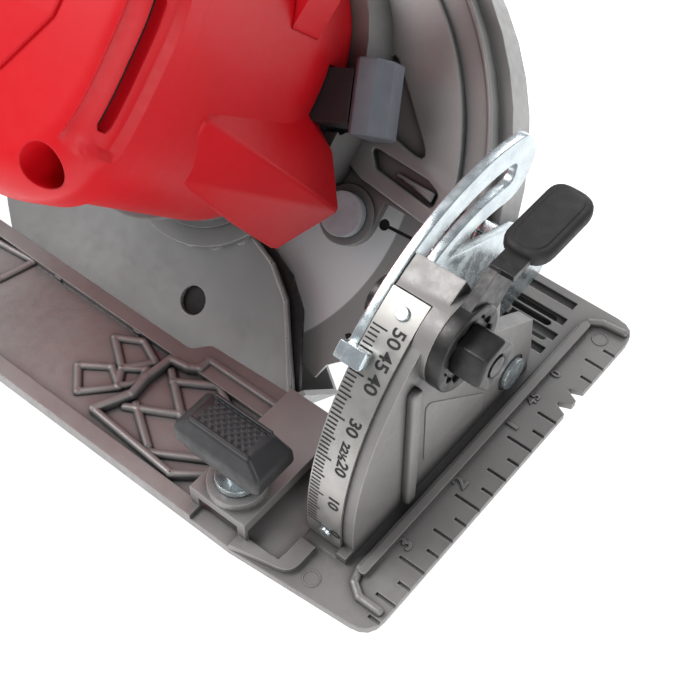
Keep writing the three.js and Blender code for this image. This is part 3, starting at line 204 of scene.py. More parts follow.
def finish(name, light, dark, rough, metal=0.0, grain=0.5, lift=0.03, patch=18.0, worn=None,
           edge=0.35, wander=0.08, coat=0.0, stretch=None, painted_shade_reach=0.0):
    """Makes a finish. Sizes are in millimetres."""
    material = bpy.data.materials.new(name)
    material.use_nodes = True
    tree = material.node_tree
    skin = tree.nodes["Principled BSDF"]
    place = tree.nodes.new("ShaderNodeTexCoord").outputs["Object"]
    colour = blend_colour(tree, spread(tree, noise(tree, place, patch), 0, 1), light, dark)
    soften = tree.nodes.new("ShaderNodeBevel")
    soften.samples = 4
    soften.inputs["Radius"].default_value = edge * MM
    if worn:
        flat = tree.nodes.new("ShaderNodeNewGeometry").outputs["Normal"]
        near = tree.nodes.new("ShaderNodeVectorMath")
        near.operation = "DOT_PRODUCT"
        tree.links.new(soften.outputs["Normal"], near.inputs[0])
        tree.links.new(flat, near.inputs[1])
        at_edge = spread(tree, near.outputs["Value"], 0.55, 0, 0.86, 0.99)
        colour = blend_colour(tree, at_edge, colour, worn)
    # Painted shade: where ambient occlusion finds other surfaces close by, the colour darkens towards
    # near black, in crevices, pockets and under ribs.
    if painted_shade_reach:
        shade_probe = tree.nodes.new("ShaderNodeAmbientOcclusion")
        shade_probe.samples = 6
        shade_probe.inputs["Distance"].default_value = painted_shade_reach * MM
        unshaded = spread(tree, shade_probe.outputs["AO"], 0.0, 1.0, 0.25, 0.95)
        colour = blend_colour(tree, unshaded, PAINTED_SHADE_COLOUR, colour)
    tree.links.new(colour, skin.inputs["Base Color"])
    uneven = spread(tree, noise(tree, place, 3.0, 4.0), rough - wander, rough + wander)
    tree.links.new(uneven, skin.inputs["Roughness"])
    skin.inputs["Metallic"].default_value = metal
    skin.inputs["Coat Weight"].default_value = coat
    skin.inputs["Coat Roughness"].default_value = 0.25
    bump = tree.nodes.new("ShaderNodeBump")
    bump.inputs["Strength"].default_value = 1.0
    bump.inputs["Distance"].default_value = lift * MM
    tree.links.new(noise(tree, place, grain, 2.0, stretch), bump.inputs["Height"])
    tree.links.new(soften.outputs["Normal"], bump.inputs["Normal"])
    tree.links.new(bump.outputs["Normal"], skin.inputs["Normal"])
    FINISHES[name] = material
    return material


# %% [markdown]
# The saw has about a dozen finishes. The shoe is a painted magnesium casting with a warm
# tint, the guards are a cooler bare casting, the housing is red glass-filled nylon, the
# levers are blackened steel and soft rubber, and the stampings are bright zinc plate.
# %% Finishes
# The two castings get painted shade in their crevices, reaching 7 mm on the shoe and 14 mm on the
# guard.
finish("shoe_casting", tone(140, 138, 136), tone(129, 126, 124), 0.44, metal=0.3, grain=0.7,
       lift=0.035, patch=30, worn=tone(200, 198, 195), edge=0.5, painted_shade_reach=7)
finish("guard_casting", tone(160, 159, 157), tone(146, 145, 143), 0.42, metal=0.35, grain=0.6,
       lift=0.025, patch=26, worn=tone(206, 205, 203), edge=0.6, painted_shade_reach=14)
finish("brushed_casting", tone(158, 159, 158), tone(144, 144, 143), 0.4, metal=0.45, grain=0.35,
       lift=0.02, patch=35, worn=tone(196, 195, 193), edge=0.4, stretch=(0.12, 1, 1))
finish("red_nylon", tone(206, 12, 26), tone(196, 8, 22), 0.42, grain=0.5, lift=0.012, patch=40,
       worn=tone(224, 44, 54), edge=0.6, wander=0.04)
red_skin = FINISHES["red_nylon"].node_tree.nodes["Principled BSDF"]
red_skin.inputs["Specular IOR Level"].default_value = 0.32
finish("black_nylon", tone(34, 34, 36), tone(25, 25, 27), 0.5, grain=0.45, lift=0.04, patch=12,
       worn=tone(62, 62, 65), edge=0.4)
finish("grey_nylon", tone(104, 108, 115), tone(92, 96, 103), 0.5, grain=0.5, lift=0.03, patch=10,
       worn=tone(134, 138, 146), edge=0.4)
finish("soft_rubber", tone(30, 30, 31), tone(22, 22, 23), 0.62, grain=0.35, lift=0.05, patch=9,
       edge=0.5)
finish("zinc_plate", tone(212, 222, 224), tone(186, 196, 200), 0.27, metal=0.85, grain=1.2,
       lift=0.02, patch=7, worn=tone(235, 240, 241), edge=0.3, wander=0.12)
finish("scale_steel", tone(178, 176, 172), tone(160, 158, 154), 0.36, metal=0.75, grain=0.3,
       lift=0.008, patch=14, edge=0.15, stretch=(1, 0.1, 0.1))
finish("dark_steel", tone(62, 61, 60), tone(44, 43, 43), 0.4, metal=0.6, grain=0.5, lift=0.02,
       patch=8, worn=tone(112, 110, 108), edge=0.35, wander=0.12)
finish("bearing_steel", tone(190, 192, 196), tone(168, 170, 175), 0.25, metal=0.95, grain=0.4,
       lift=0.008, patch=10)
finish("copper_wire", tone(190, 112, 62), tone(160, 84, 40), 0.35, metal=0.9, grain=0.8, lift=0.12,
       patch=5, stretch=(1, 0.15, 1))
finish("lamination", tone(70, 70, 74), tone(52, 52, 56), 0.45, metal=0.7, grain=0.5, lift=0.05,
       patch=9, stretch=(0.05, 1, 0.05))
finish("circuit_green", tone(30, 92, 58), tone(20, 70, 44), 0.45, grain=0.8, lift=0.05, patch=4)
# Black for printed marks. The same finish also colours the thin black pieces that are painted shade in
# slots and hollows.
finish("ink_and_painted_shade", tone(26, 25, 25), tone(38, 37, 36), 0.55, grain=0.3, lift=0.01, patch=2)
finish("pale_print", tone(206, 204, 200), tone(190, 188, 184), 0.5, grain=0.3, lift=0.01, patch=3)
print("finishes:", ", ".join(FINISHES))

# %% [markdown]
# A saw blade is ground flat: the middle is polished bright in fine rings and the outer
# band, which the guard rubs, is greyer. Rings need the distance from the arbor, so this
# finish measures it from the leaned arbor axis instead of using plain noise.
# %% Blade steel


POLISHED = (0.0668, 0.0674)   # the polish fades out between these radii, in metres
RINGS_PER_METRE = 3200


def blade_steel():
    """Ground steel whose rings and polish follow the distance from the arbor."""
    material = finish("blade_steel", tone(206, 207, 208), tone(186, 187, 188), 0.3, metal=0.05,
                      grain=0.5, lift=0.004, patch=22, edge=0.15)
    tree = material.node_tree
    skin = tree.nodes["Principled BSDF"]
    place = tree.nodes.new("ShaderNodeTexCoord").outputs["Object"]
    middle = LEAN @ Vector((ARBOR[0], 0, ARBOR[1]))
    mapping = tree.nodes.new("ShaderNodeMapping")
    mapping.vector_type = "TEXTURE"
    mapping.inputs["Location"].default_value = middle
    mapping.inputs["Rotation"].default_value = (math.radians(-45), 0, 0)
    tree.links.new(place, mapping.inputs["Vector"])
    split = tree.nodes.new("ShaderNodeSeparateXYZ")
    tree.links.new(mapping.outputs["Vector"], split.inputs["Vector"])
    flat = tree.nodes.new("ShaderNodeCombineXYZ")
    tree.links.new(split.outputs["X"], flat.inputs["X"])
    tree.links.new(split.outputs["Z"], flat.inputs["Y"])
    radius = tree.nodes.new("ShaderNodeVectorMath")
    radius.operation = "LENGTH"
    tree.links.new(flat.outputs["Vector"], radius.inputs[0])
    rings = tree.nodes.new("ShaderNodeTexNoise")
    rings.noise_dimensions = "1D"
    rings.inputs["Scale"].default_value = RINGS_PER_METRE
    rings.inputs["Detail"].default_value = 2
    tree.links.new(radius.outputs["Value"], rings.inputs["W"])
    rough = spread(tree, rings.outputs["Fac"], 0.3, 0.38)
    tree.links.new(rough, skin.inputs["Roughness"])
    band = spread(tree, radius.outputs["Value"], 0, 1, *POLISHED)
    ring = spread(tree, rings.outputs["Fac"], 0, 1)
    bright = blend_colour(tree, ring, tone(252, 252, 252), tone(246, 246, 246))
    matt = blend_colour(tree, ring, tone(172, 171, 169), tone(164, 163, 161))
    tree.links.new(blend_colour(tree, band, bright, matt), skin.inputs["Base Color"])
    return material


blade_steel()
print("blade polished out to", POLISHED[0] / MM, "mm")

# %% [markdown]
# The stop screw between the guards sits in their shade, so its zinc is a paler and duller
# one than on the stampings. The sweep under the saw is white card lit from behind: a
# little light of its own keeps it white where the saw shades it. A stronger lamp would do
# that too, but it would bleach the metal.
# %% Pale zinc and the sweep
finish("pale_zinc", tone(214, 222, 226), tone(190, 199, 204), 0.34, metal=0.3, grain=0.8, lift=0.02,
       patch=5, worn=tone(240, 244, 245), edge=0.3)
pale = finish("pale_sweep", tone(250, 250, 250), tone(246, 246, 247), 0.9, grain=20, lift=0.0,
              patch=900)
glow = pale.node_tree.nodes["Principled BSDF"]
glow.inputs["Emission Color"].default_value = (1, 1, 1, 1)
glow.inputs["Emission Strength"].default_value = 0.55
floor.data.materials.append(pale)
print("sweep glows at", glow.inputs["Emission Strength"].default_value)

# %% [markdown]
# Inner pieces come straight from the CAD and only need their finish. Outer ones are
# copied: the copy's loose triangles are welded, its creases are marked by angle, and
# curved walls then shade smoothly while corners stay crisp. A subdivision would round
# the corners away, which is wrong for castings and stampings.
# %% Dressing CAD nodes
BODY_OF = {
    node: body
    for body, nodes in frame["record"]["behaviour"]["bodies"].items()
    for node in nodes
}
CREASE = math.radians(28)


def paint(piece, finish_name):
    """Gives a piece one finish all over."""
    piece.data.materials.clear()
    piece.data.materials.append(FINISHES[finish_name])


def crease(mesh, angle=CREASE):
    """Smooth faces with sharp edges where they meet at more than the angle."""
    work = bmesh.new()
    work.from_mesh(mesh)
    bmesh.ops.remove_doubles(work, verts=work.verts, dist=0.002 * MM)
    bmesh.ops.dissolve_degenerate(work, edges=work.edges, dist=0.001 * MM)
    bmesh.ops.recalc_face_normals(work, faces=work.faces)
    for face in work.faces:
        face.smooth = True
    for edge in work.edges:
        edge.smooth = len(edge.link_faces) == 2 and edge.calc_face_angle(0) < angle
    work.to_mesh(mesh)
    work.free()


def bevel(piece, width, segments=2, angle=32):
    """Rounds a piece's sharp edges by width millimetres."""
    modifier = piece.modifiers.new("rounding", "BEVEL")
    modifier.width = width * MM
    modifier.segments = segments
    modifier.limit_method = "ANGLE"
    modifier.angle_limit = math.radians(angle)
    modifier.use_clamp_overlap = True
    return modifier


def settle(piece, body, finish_name, replaced=()):
    """Finish, body and the CAD nodes that a made piece stands for."""
    paint(piece, finish_name)
    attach(piece, body)
    if replaced:
        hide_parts(*replaced)
    return piece


def dressed(node, finish_name):
    """A creased copy of a CAD node in place of the node."""
    source = frame["nodes"][node]
    mesh = source.data.copy()
    mesh.name = node + "_skin"
    piece = bpy.data.objects.new(node + "_skin", mesh)
    scene.collection.objects.link(piece)
    crease(mesh)
    return settle(piece, BODY_OF[node], finish_name, (node,))


OUTER = {
    "bevel_scale_plate": "scale_steel", "scale_rivet_upper": "zinc_plate",
    "scale_rivet_lower": "zinc_plate", "front_bevel_pin": "zinc_plate",
    "rear_bevel_pin": "zinc_plate", "bevel_lock_bolt": "dark_steel",
    "bevel_lock_lever": "dark_steel", "fence_screw_stud": "zinc_plate",
    "depth_pivot_pin": "zinc_plate", "depth_arm": "zinc_plate", "upper_guard": "guard_casting",
    "guard_stop_screw": "pale_zinc", "lower_guard": "brushed_casting", "blade": "blade_steel",
    "inner_flange": "dark_steel", "outer_flange": "dark_steel", "blade_bolt": "dark_steel",
    "spindle_lock_stem": "black_nylon", "handle_right": "red_nylon", "handle_left": "red_nylon",
    "handle_screw_1": "dark_steel", "handle_screw_2": "dark_steel", "handle_screw_3": "dark_steel",
    "trigger": "black_nylon", "lock_off_button": "black_nylon", "front_handle": "red_nylon",
    "front_handle_sleeve": "soft_rubber", "depth_lock_bolt": "zinc_plate",
    "depth_lock_lever": "black_nylon", "battery_case": "black_nylon",
    "battery_button_right": "red_nylon", "battery_button_left": "red_nylon",
}
INNER = {
    "spindle": "bearing_steel", "drive_gear": "bearing_steel", "motor_shaft": "bearing_steel",
    "spindle_bearing_outer": "bearing_steel", "spindle_bearing_inner": "bearing_steel",
    "motor_bearing_front": "bearing_steel", "motor_bearing_rear": "bearing_steel",
    "bearing_plate": "guard_casting", "stator": "lamination", "winding_front": "copper_wire",
    "winding_rear": "copper_wire", "rotor": "lamination", "cooling_fan": "black_nylon",
    "switch_module": "black_nylon", "control_board": "circuit_green",
    "battery_terminal": "black_nylon", "battery_cells": "pale_print",
}
print("outer nodes to copy:", len(OUTER), "inner nodes to paint:", len(INNER))

# %% [markdown]
# Stampings, caps and ribs are all flat outlines with thickness and slightly rounded
# edges. A filled 2D curve makes them in one go: it takes holes, extrudes both ways and
# rolls its own edges. A box with booleans would do the same with far more care needed.
# %% Plates from outlines
FLAT = {
    "XY": Matrix.Identity(4),
    "XZ": Matrix(((1, 0, 0, 0), (0, 0, -1, 0), (0, 1, 0, 0), (0, 0, 0, 1))),
    "YZ": Matrix(((0, 0, 1, 0), (1, 0, 0, 0), (0, 1, 0, 0), (0, 0, 0, 1))),
}


def fillet(points, steps=5):
    """Corners given as (a, b, radius) become short arcs."""
    outline = []
    for i, (a, b, radius) in enumerate(points):
        here = Vector((a, b))
        before = (Vector(points[i - 1][:2]) - here)
        after = (Vector(points[(i + 1) % len(points)][:2]) - here)
        if radius <= 0:
            outline.append((a, b))
            continue
        half = before.angle(after) / 2
        reach = min(radius / math.tan(half), before.length * 0.48, after.length * 0.48)
        start, end = here + before.normalized() * reach, here + after.normalized() * reach
        for k in range(steps + 1):
            t = k / steps
            outline.append(tuple(start * (1 - t) ** 2 + here * 2 * t * (1 - t) + end * t ** 2))
    return outline


def evaluated(drawn):
    """The mesh of a drawn curve or text; the drawing itself is dropped."""
    scene.collection.objects.link(drawn)
    bpy.context.view_layer.update()
    mesh = bpy.data.meshes.new_from_object(
        drawn.evaluated_get(bpy.context.evaluated_depsgraph_get())
    )
    bpy.data.objects.remove(drawn)
    return mesh


def placed(name, mesh):
    """A mesh as an object in the scene."""
    made = bpy.data.objects.new(name, mesh)
    scene.collection.objects.link(made)
    return made


def plate(name, outline, low, high, plane="XY", space=SHOE, holes=(), roll=0.3, steps=2):
    """A flat piece between low and high along the plane's normal, edges rolled by roll."""
    curve = bpy.data.curves.new(name, "CURVE")
    curve.dimensions = "2D"
    curve.fill_mode = "BOTH"
    for loop in (outline, *holes):
        spline = curve.splines.new("POLY")
        spline.points.add(len(loop) - 1)
        for point, (a, b) in zip(spline.points, loop):
            point.co = (a, b, 0, 1)
        spline.use_cyclic_u = True
    curve.extrude = abs(high - low) / 2 - roll
    curve.bevel_depth = roll
    curve.bevel_resolution = steps
    curve.offset = -roll
    mesh = evaluated(bpy.data.objects.new(name + "_drawn", curve))
    middle = (low + high) / 2 * (-1 if plane == "XZ" else 1)
    mesh.transform(space @ FLAT[plane] @ Matrix.Translation((0, 0, middle)))
    made = placed(name, mesh)
    crease(mesh, math.radians(40))
    return made


def joined(name, parts):
    """Several made pieces become one mesh."""
    work = bmesh.new()
    for part in parts:
        work.from_mesh(part.data)
        bpy.data.objects.remove(part)
    mesh = bpy.data.meshes.new(name)
    work.to_mesh(mesh)
    work.free()
    return placed(name, mesh)


def bar(name, start, end, width, low, high, plane="XY", space=SHOE, roll=0.4):
    """A straight rib with rounded ends."""
    start, end = Vector(start), Vector(end)
    along = (end - start).normalized()
    side = Vector((-along.y, along.x)) * width / 2
    ends = along * width / 2
    corners = [start - side - ends, end - side + ends, end + side + ends, start + side - ends]
    outline = fillet([(p.x, p.y, width * 0.45) for p in corners], 3)
    return plate(name, outline, low, high, plane, space, roll=roll)


def lettering(name, text, size, thick, place, right, up, bold=0.09):
    """Raised or printed figures; place in metres, right and up are directions."""
    curve = bpy.data.curves.new(name, "FONT")
    curve.body = text
    curve.size = size * MM
    curve.extrude = thick * MM
    curve.offset = bold * MM
    curve.align_x = "CENTER"
    curve.align_y = "CENTER"
    mesh = evaluated(bpy.data.objects.new(name + "_drawn", curve))
    right, up = Vector(right).normalized(), Vector(up).normalized()
    out = right.cross(up)
    turn = Matrix((right, up, out)).transposed().to_4x4()
    mesh.transform(Matrix.Translation(place) @ turn)
    return placed(name, mesh)


print("plate, bar and lettering tools ready")

# %% [markdown]
# The steel scale bends round the bracket's curved wall. Its lines are one degree apart,
# longer at the fives and longest at the tens, and its figures read down the arc.
# They are laid as a film of black print a few hundredths of a millimetre over the steel.
# %% Bevel scale
SCALE_RADIUS = 74.0


def on_scale(x, angle, lift=0.0):
    """A point on the scale at a bevel reading in degrees, in metres."""
    turn = math.radians(90 - angle)
    radius = SCALE_RADIUS + lift
    y, z = BEVEL_Y - radius * math.sin(turn), BEVEL_Z + radius * math.cos(turn)
    return Vector((x, y, z)) * MM


INK_LIFT = 0.06
LINE_FROM = -6.6              # the lines start here, at the scale's rear edge
HALF_LINE = 0.19              # half a line's width, in degrees
LAST_DEGREE = 50
vertices, faces = [], []
for degree in range(LAST_DEGREE + 1):
    length = 4.6 if degree % 10 == 0 else 3.9 if degree % 5 == 0 else 3.0
    line_to = LINE_FROM + length
    first = len(vertices)
    for x, side in ((LINE_FROM, -1), (line_to, -1), (line_to, 1), (LINE_FROM, 1)):
        vertices.append(on_scale(x, degree + side * HALF_LINE, INK_LIFT))
    faces.append((first, first + 1, first + 2, first + 3))
ink_lines = mesh_object("scale_lines", vertices, faces)
figures = [ink_lines]
SCALE_FIGURES = [
    # words, where they sit in degrees, size, place across the scale
    ("50", 49.6, 5.3, 0.9), ("45", 44.6, 5.3, 0.9), ("40", 39.6, 5.3, 0.9), ("30", 29.6, 5.0, 0.9),
    ("22\u00bd", 23.6, 3.2, 0.6), ("20", 19.6, 4.8, 1.3), ("10", 9.6, 4.8, 1.3),
    ("0", -0.4, 4.8, 2.6),
]
for words, shown, size, x in SCALE_FIGURES:
    down = on_scale(0, shown - 1) - on_scale(0, shown + 1)
    place = on_scale(x, shown, INK_LIFT)
    figures.append(lettering("scale_figure", words, size, 0.03, place, down, (1, 0, 0)))
settle(joined("scale_marks", figures), "shoe_body", "ink_and_painted_shade")
print("scale lines:", LAST_DEGREE + 1)

# %% [markdown]
# The front edge is a ruler cast into the shoe: a groove every quarter inch from the cut
# line, longer at the inches, with small raised figures. Grooves are really cut, with one
# boolean for all of them, because a printed line would not catch the light.
# %% Ruler grooves and figures
INCH = 25.4
SHOE_TOP = 2.4


def groove(start, end, width, depth, top):
    """A V-shaped cutter."""
    start, end = Vector((*start, top)), Vector((*end, top))
    side = (end - start).normalized().cross(Vector((0, 0, 1))) * width / 2
    rise = Vector((0, 0, 0.4))
    drop = Vector((0, 0, depth))
    cutter = []
    for at in (start, end):
        cutter += [at - side + rise, at + side + rise, at + side * 0.35 - drop, at - side * 0.35 - drop]
    return cutter


BOX_FACES = [(0, 1, 2, 3), (7, 6, 5, 4), (0, 4, 5, 1), (1, 5, 6, 2), (2, 6, 7, 3), (3, 7, 4, 0)]
GROOVE_LENGTH = (9.0, 4.5, 7.0, 4.5)      # at the inch, the quarter, the half and the next quarter
GROOVE_FROM = 26.6                        # just past the shoe's front edge
CLEARED = [
    # boxes taken off the plate: the panel beside the well, then the four slots by the pivot
    (-242.6, -6.2, -98.6, -66.4, SHOE_TOP, 8), (-12, 6, 26.4, 29.6, 0.9, 8),
    (-12, 7, 19.2, 22.4, 0.9, 8), (-9, 8, 12.4, 15.6, 0.9, 8), (-5, 8, 5.8, 8.8, 0.9, 8),
]
vertices, faces = [], []


def add_cutter(corners):
    """Eight corners, near face first, join the one cutter."""
    first = len(vertices)
    vertices.extend(Vector(corner) for corner in corners)
    faces.extend(tuple(first + i for i in face) for face in BOX_FACES)


for quarter in range(-3, 16):
    y = -quarter * INCH / 4
    if quarter:
        length = GROOVE_LENGTH[quarter % 4]
        add_cutter(groove((GROOVE_FROM, y), (GROOVE_FROM - length, y), 1.4, 0.8, SHOE_TOP))
for x0, x1, y0, y1, low, high in CLEARED:
    add_cutter([(x, y, z) for z in (low, high) for x, y in ((x0, y0), (x1, y0), (x1, y1), (x0, y1))])
ruler_cutter = mesh_object("ruler_cutter", [v * MM for v in vertices], faces)


def carve(piece, cutter):
    """Cuts one mesh out of another and drops the cutter."""
    modifier = piece.modifiers.new("carve", "BOOLEAN")
    modifier.operation = "DIFFERENCE"
    modifier.solver = "EXACT"
    modifier.object = cutter
    crease(cutter.data)
    bpy.context.view_layer.update()
    mesh = bpy.data.meshes.new_from_object(
        piece.evaluated_get(bpy.context.evaluated_depsgraph_get())
    )
    piece.modifiers.clear()
    piece.data = mesh
    bpy.data.objects.remove(cutter)
    crease(mesh)


shoe = dressed("shoe", "shoe_casting")
before = len(shoe.data.polygons)
carve(shoe, ruler_cutter)
print("shoe faces before and after carving:", before, len(shoe.data.polygons))
# Painted shade: a thin black plate inside the shoe's floor darkens its through slots, where only shade
# lies beneath.
slot_shade_plate = plate("shoe_slot_painted_shade", [(-13, 5), (9, 5), (9, 30.2), (-13, 30.2)], 0.25, 0.85, roll=0.05)
settle(slot_shade_plate, "shoe_body", "ink_and_painted_shade")
RULER_FIGURES = [
    # words, size, thickness, x, y, boldness
    *((str(inch), 6.6, 0.32, 16.4, -inch * INCH + 3.9, 0.16) for inch in (1, 2, 3)),
    ("0", 4.4, 0.3, 16.0, 2.2, 0.09), ("45", 4.4, 0.3, 16.0, -9.6, 0.09),
]
raised = [
    lettering("ruler_figure", words, size, thick, Vector((x, y, SHOE_TOP + 0.1)) * MM,
              (0, 1, 0), (-1, 0, 0), bold)
    for words, size, thick, x, y, bold in RULER_FIGURES
]
settle(joined("ruler_figures", raised), "shoe_body", "shoe_casting")
print("cutters used on the shoe:", len(vertices) // 8)

# %% [markdown]
# A raised rim runs behind the ruler and turns forward at both ends, and the deep panel
# beside the well is stiffened by crossed ribs in diamonds. They are separate rounded
# bars sunk a little into the plate, as the metal runs in the mould.
# %% Shoe rims and ribs
RIM = [(23.6, -93.0), (17.0, -93.0), (13.2, -90.4), (11.8, -86), (11.8, 21.5), (13.0, 25.0),
       (16.6, 27.2), (23.6, 28.0)]
PANEL = [(-81, -95), (-76, -84), (-77, -77), (-76, -67.5), (-70, -66.5), (-66.5, -64.5),
         (-66.5, -60.5), (-40, -60.5)]
PANEL_FOOT = [(-81, -95), (-48, -97), (-40, -91)]
RIBS = [
    ((-73.5, -70), (-60, -80)), ((-73, -85.5), (-60, -94)), ((-75, -88), (-60, -79.5)),
    ((-58, -95), (-43, -86)), ((-70.5, -72.5), (-58, -64.5)), ((-62, -63), (-46, -72)),
]
DIAMONDS = [
    [(-96, -71.5), (-88, -67), (-79.5, -70.5), (-86, -78.5)],
    [(-97, -86), (-88.5, -80), (-81.5, -84), (-90, -93)],
    [(-86, -78.5), (-79.5, -74), (-78, -79), (-82, -84)],
]
BACK_POCKET = [(-160, -68), (-138, -66), (-141, -78), (-160, -80)]
STAGGER = 0.06                # every second bar is this much taller, so no two tops coincide


def run_of_bars(name, path, width, sunk, rise, roll, stagger=STAGGER):
    """Bars along a path on the shoe, sunk into it and standing up by rise."""
    return [
        bar(name, a, b, width, SHOE_TOP - sunk, SHOE_TOP + rise + k % 2 * stagger, roll=roll)
        for k, (a, b) in enumerate(zip(path, path[1:]))
    ]


rim_parts = run_of_bars("rim", RIM, 2.4, 0.6, 1.9, 0.9)
rim_parts += run_of_bars("rim", PANEL, 2.6, 0.6, 3.2, 1.0)
rim_parts += run_of_bars("rim", PANEL_FOOT, 2.4, 0.6, 3.0, 1.0, 0)
settle(joined("shoe_rims", rim_parts), "shoe_body", "shoe_casting")
rib_parts = []
for pair in RIBS:
    rib_parts += run_of_bars("rib", pair, 2.9, 0.9, 1.7, 1.35)
for ring in DIAMONDS:
    rib_parts += run_of_bars("rib", ring + ring[:1], 2.7, 0.9, 1.5, 1.2)
rib_parts += run_of_bars("rib", BACK_POCKET, 2.2, 0.6, 1.7, 1.0, 0)
print("shoe rims:", len(rim_parts), "ribs:", len(rib_parts))
settle(joined("shoe_ribs", rib_parts), "shoe_body", "shoe_casting")

# %% [markdown]
# The bracket has one upright rib and a shallow three-cornered pad on its front face, and
# the mould's ejector pins leave thin rings on the plate. All of them stand a fraction of
# a millimetre proud, so each is a thin plate laid on the casting.
# %% Bracket pads and mould marks
PIN_MARKS = [(3.5, -96.5), (-26, -62), (19, 22)]


def circle(middle, radius, count):
    """Points round a circle, in the plane that it is drawn in."""
    return [
        (middle[0] + radius * math.cos(k * math.tau / count),
         middle[1] + radius * math.sin(k * math.tau / count))
        for k in range(count)
    ]


pad_corners = fillet([(-55, 42, 2), (-26, 16, 2), (-26, 7, 1), (-54, 14, 2)])
pads = [
    bar("pad", (-61.5, 53), (-61.5, 6), 4.2, 7.5, 10.4, "YZ", roll=0.9),
    plate("pad", pad_corners, 7.6, 8.35, "YZ", roll=0.25),
]
for mark in PIN_MARKS:
    pads.append(plate("pad", circle(mark, 2.6, 28), SHOE_TOP - 0.2, SHOE_TOP + 0.22,
                      holes=[circle(mark, 2.2, 28)], roll=0.08))
print("pads and marks:", len(pads))
settle(joined("bracket_pads", pads), "shoe_body", "shoe_casting")

# %% [markdown]
# The motor-side wall of the upper guard is a web with pockets: a three-cornered one, a
# low one with short fins in it, and an arched rib that follows the blade. The web is a
# plate with holes, so the pockets are real and their floors are the CAD guard behind.
# %% Guard web


def arc(middle, radius, start, end, steps=24):
    """Points along part of a circle, angles in degrees."""
    turns = [math.radians(start + (end - start) * k / steps) for k in range(steps + 1)]
    return [(middle[0] + radius * math.cos(turn), middle[1] + radius * math.sin(turn))
            for turn in turns]


WEB_NEAR, WEB_FAR = -15.5, -19.2
FIN_STEPS = (0, 3.0, 6.0)
web_outline = arc(ARBOR, 89, 84, 9) + [(-36, 36.5), (-60, 39), (-66, 41), (-72, 47), (-100, 60)]
pocket_high = fillet([(-72.5, 81, 2.5), (-60.5, 55.5, 3), (-40.5, 51.5, 3.5)])
pocket_low = fillet([(-62, 49.5, 2.5), (-57, 44, 2), (-34.5, 41.5, 2), (-35.0, 46.5, 2.5),
                     (-40, 48.5, 2)])
web_parts = [plate("guard_web", web_outline, WEB_NEAR, WEB_FAR, "XZ", LEAN,
                   [pocket_high, pocket_low], roll=0.7, steps=3)]
for along_pocket in FIN_STEPS:
    fin_from = (-50 + along_pocket, 45.4 - along_pocket * 0.1)
    fin_to = (-37, 44.2 - along_pocket * 0.35 + 1.2)
    web_parts.append(bar("fin", fin_from, fin_to, 1.3, WEB_NEAR, -17.6, "XZ", LEAN, roll=0.5))
rim_outline = arc(ARBOR, 97.2, 100, 8, 40) + arc(ARBOR, 95.6, 8, 100, 40)
web_parts.append(plate("rim_ring", rim_outline, -15.6, -16.9, "XZ", LEAN, roll=0.4))
print("guard web pieces:", len(web_parts))
settle(joined("guard_web", web_parts), "saw_body", "guard_casting")

# %% [markdown]
# The lower guard ends in a bright lip with the guard's shaded inside beside it, and has one
# round hole. The blade's own slots look dark too. Light would have to bounce many times to
# show those depths, so each is closed by a thin black piece just inside it: painted shade.
# %% Lower guard's lip and painted shade in the depths
LIP = [(31, -37), (45, -31.8), (57.7, -33.2), (69, -37.2), (86, -41.4)]   # radius, degrees
SHADE_REACH = (2.5, 4.0, 5.5, 6.5, 7.5)
SPOT_RADIUS, SPOT_TURN = 51.6, math.radians(-70)
lip_points = [(ARBOR[0] + r * math.cos(math.radians(a)), ARBOR[1] + r * math.sin(math.radians(a)))
              for r, a in LIP]
lip = [bar("lip", a, b, 1.5, -11.2, -12.5, "XZ", LEAN, roll=0.5)
       for a, b in zip(lip_points, lip_points[1:])]
print("lip bars:", len(lip))
settle(joined("guard_lip", lip), "swing_guard", "guard_casting")
# Painted shade: a black strip just inside the guard, beside its lip.
inner_shade_outline = [(x - 1.2, z) for x, z in lip_points]
inner_shade_outline += [(x + reach, z - 0.5) for reach, (x, z) in zip(SHADE_REACH, reversed(lip_points))]
band = plate("guard_inner_painted_shade", inner_shade_outline, -9.2, -7.2, "XZ", LEAN, roll=0.3)
settle(band, "swing_guard", "ink_and_painted_shade")
spot = (ARBOR[0] + SPOT_RADIUS * math.cos(SPOT_TURN), ARBOR[1] + SPOT_RADIUS * math.sin(SPOT_TURN))
# Painted shade: a black disc just behind the guard's round hole.
spot_shade = plate("guard_spot_shade", arc(spot, 6.2, 0, 345, 23), -8.6, -9.3, "XZ", LEAN, roll=0.1)
settle(spot_shade, "swing_guard", "ink_and_painted_shade")
# Painted shade: a black ring inside the blade, seen only through its slots.
blade_slot_shade = plate("blade_slot_painted_shade", arc(ARBOR, 76.5, 0, 355, 90), -0.45, 0.45, "XZ", LEAN,
                  [arc(ARBOR, 57, 0, 355, 90)], roll=0.05)
settle(blade_slot_shade, "blade_set", "ink_and_painted_shade")

# %% [markdown]
# The bevel lever is a folded steel strip ending in a soft rubber paddle, clamped by a
# hexagon nut over a toothed washer. Outlines with rolled edges make all three, because
# small chamfers are what makes hardware look turned and pressed.
# %% Lever paddle, nut and washer
PADDLE_Z = 79.4
LOCK_TURN = math.radians(35)
LOCK = (BEVEL_Y - 62 * math.sin(LOCK_TURN), BEVEL_Z + 62 * math.cos(LOCK_TURN))
BOLT_HOLE = 3.25
paddle_outline = fillet([(7.0, -28.2, 6), (20.6, -28.2, 7), (20.6, -0.8, 7), (7.0, -0.8, 5)], 7)
inset_outline = fillet([(9.2, -26.0, 4), (18.4, -26.0, 5), (18.4, -3.0, 5), (9.2, -3.0, 4)], 6)
paddle = plate("paddle_cover", paddle_outline, PADDLE_Z - 2.3, PADDLE_Z + 2.3, roll=1.7, steps=4)
inset = plate("paddle_cover", inset_outline, PADDLE_Z + 2.0, PADDLE_Z + 2.55, roll=0.25)
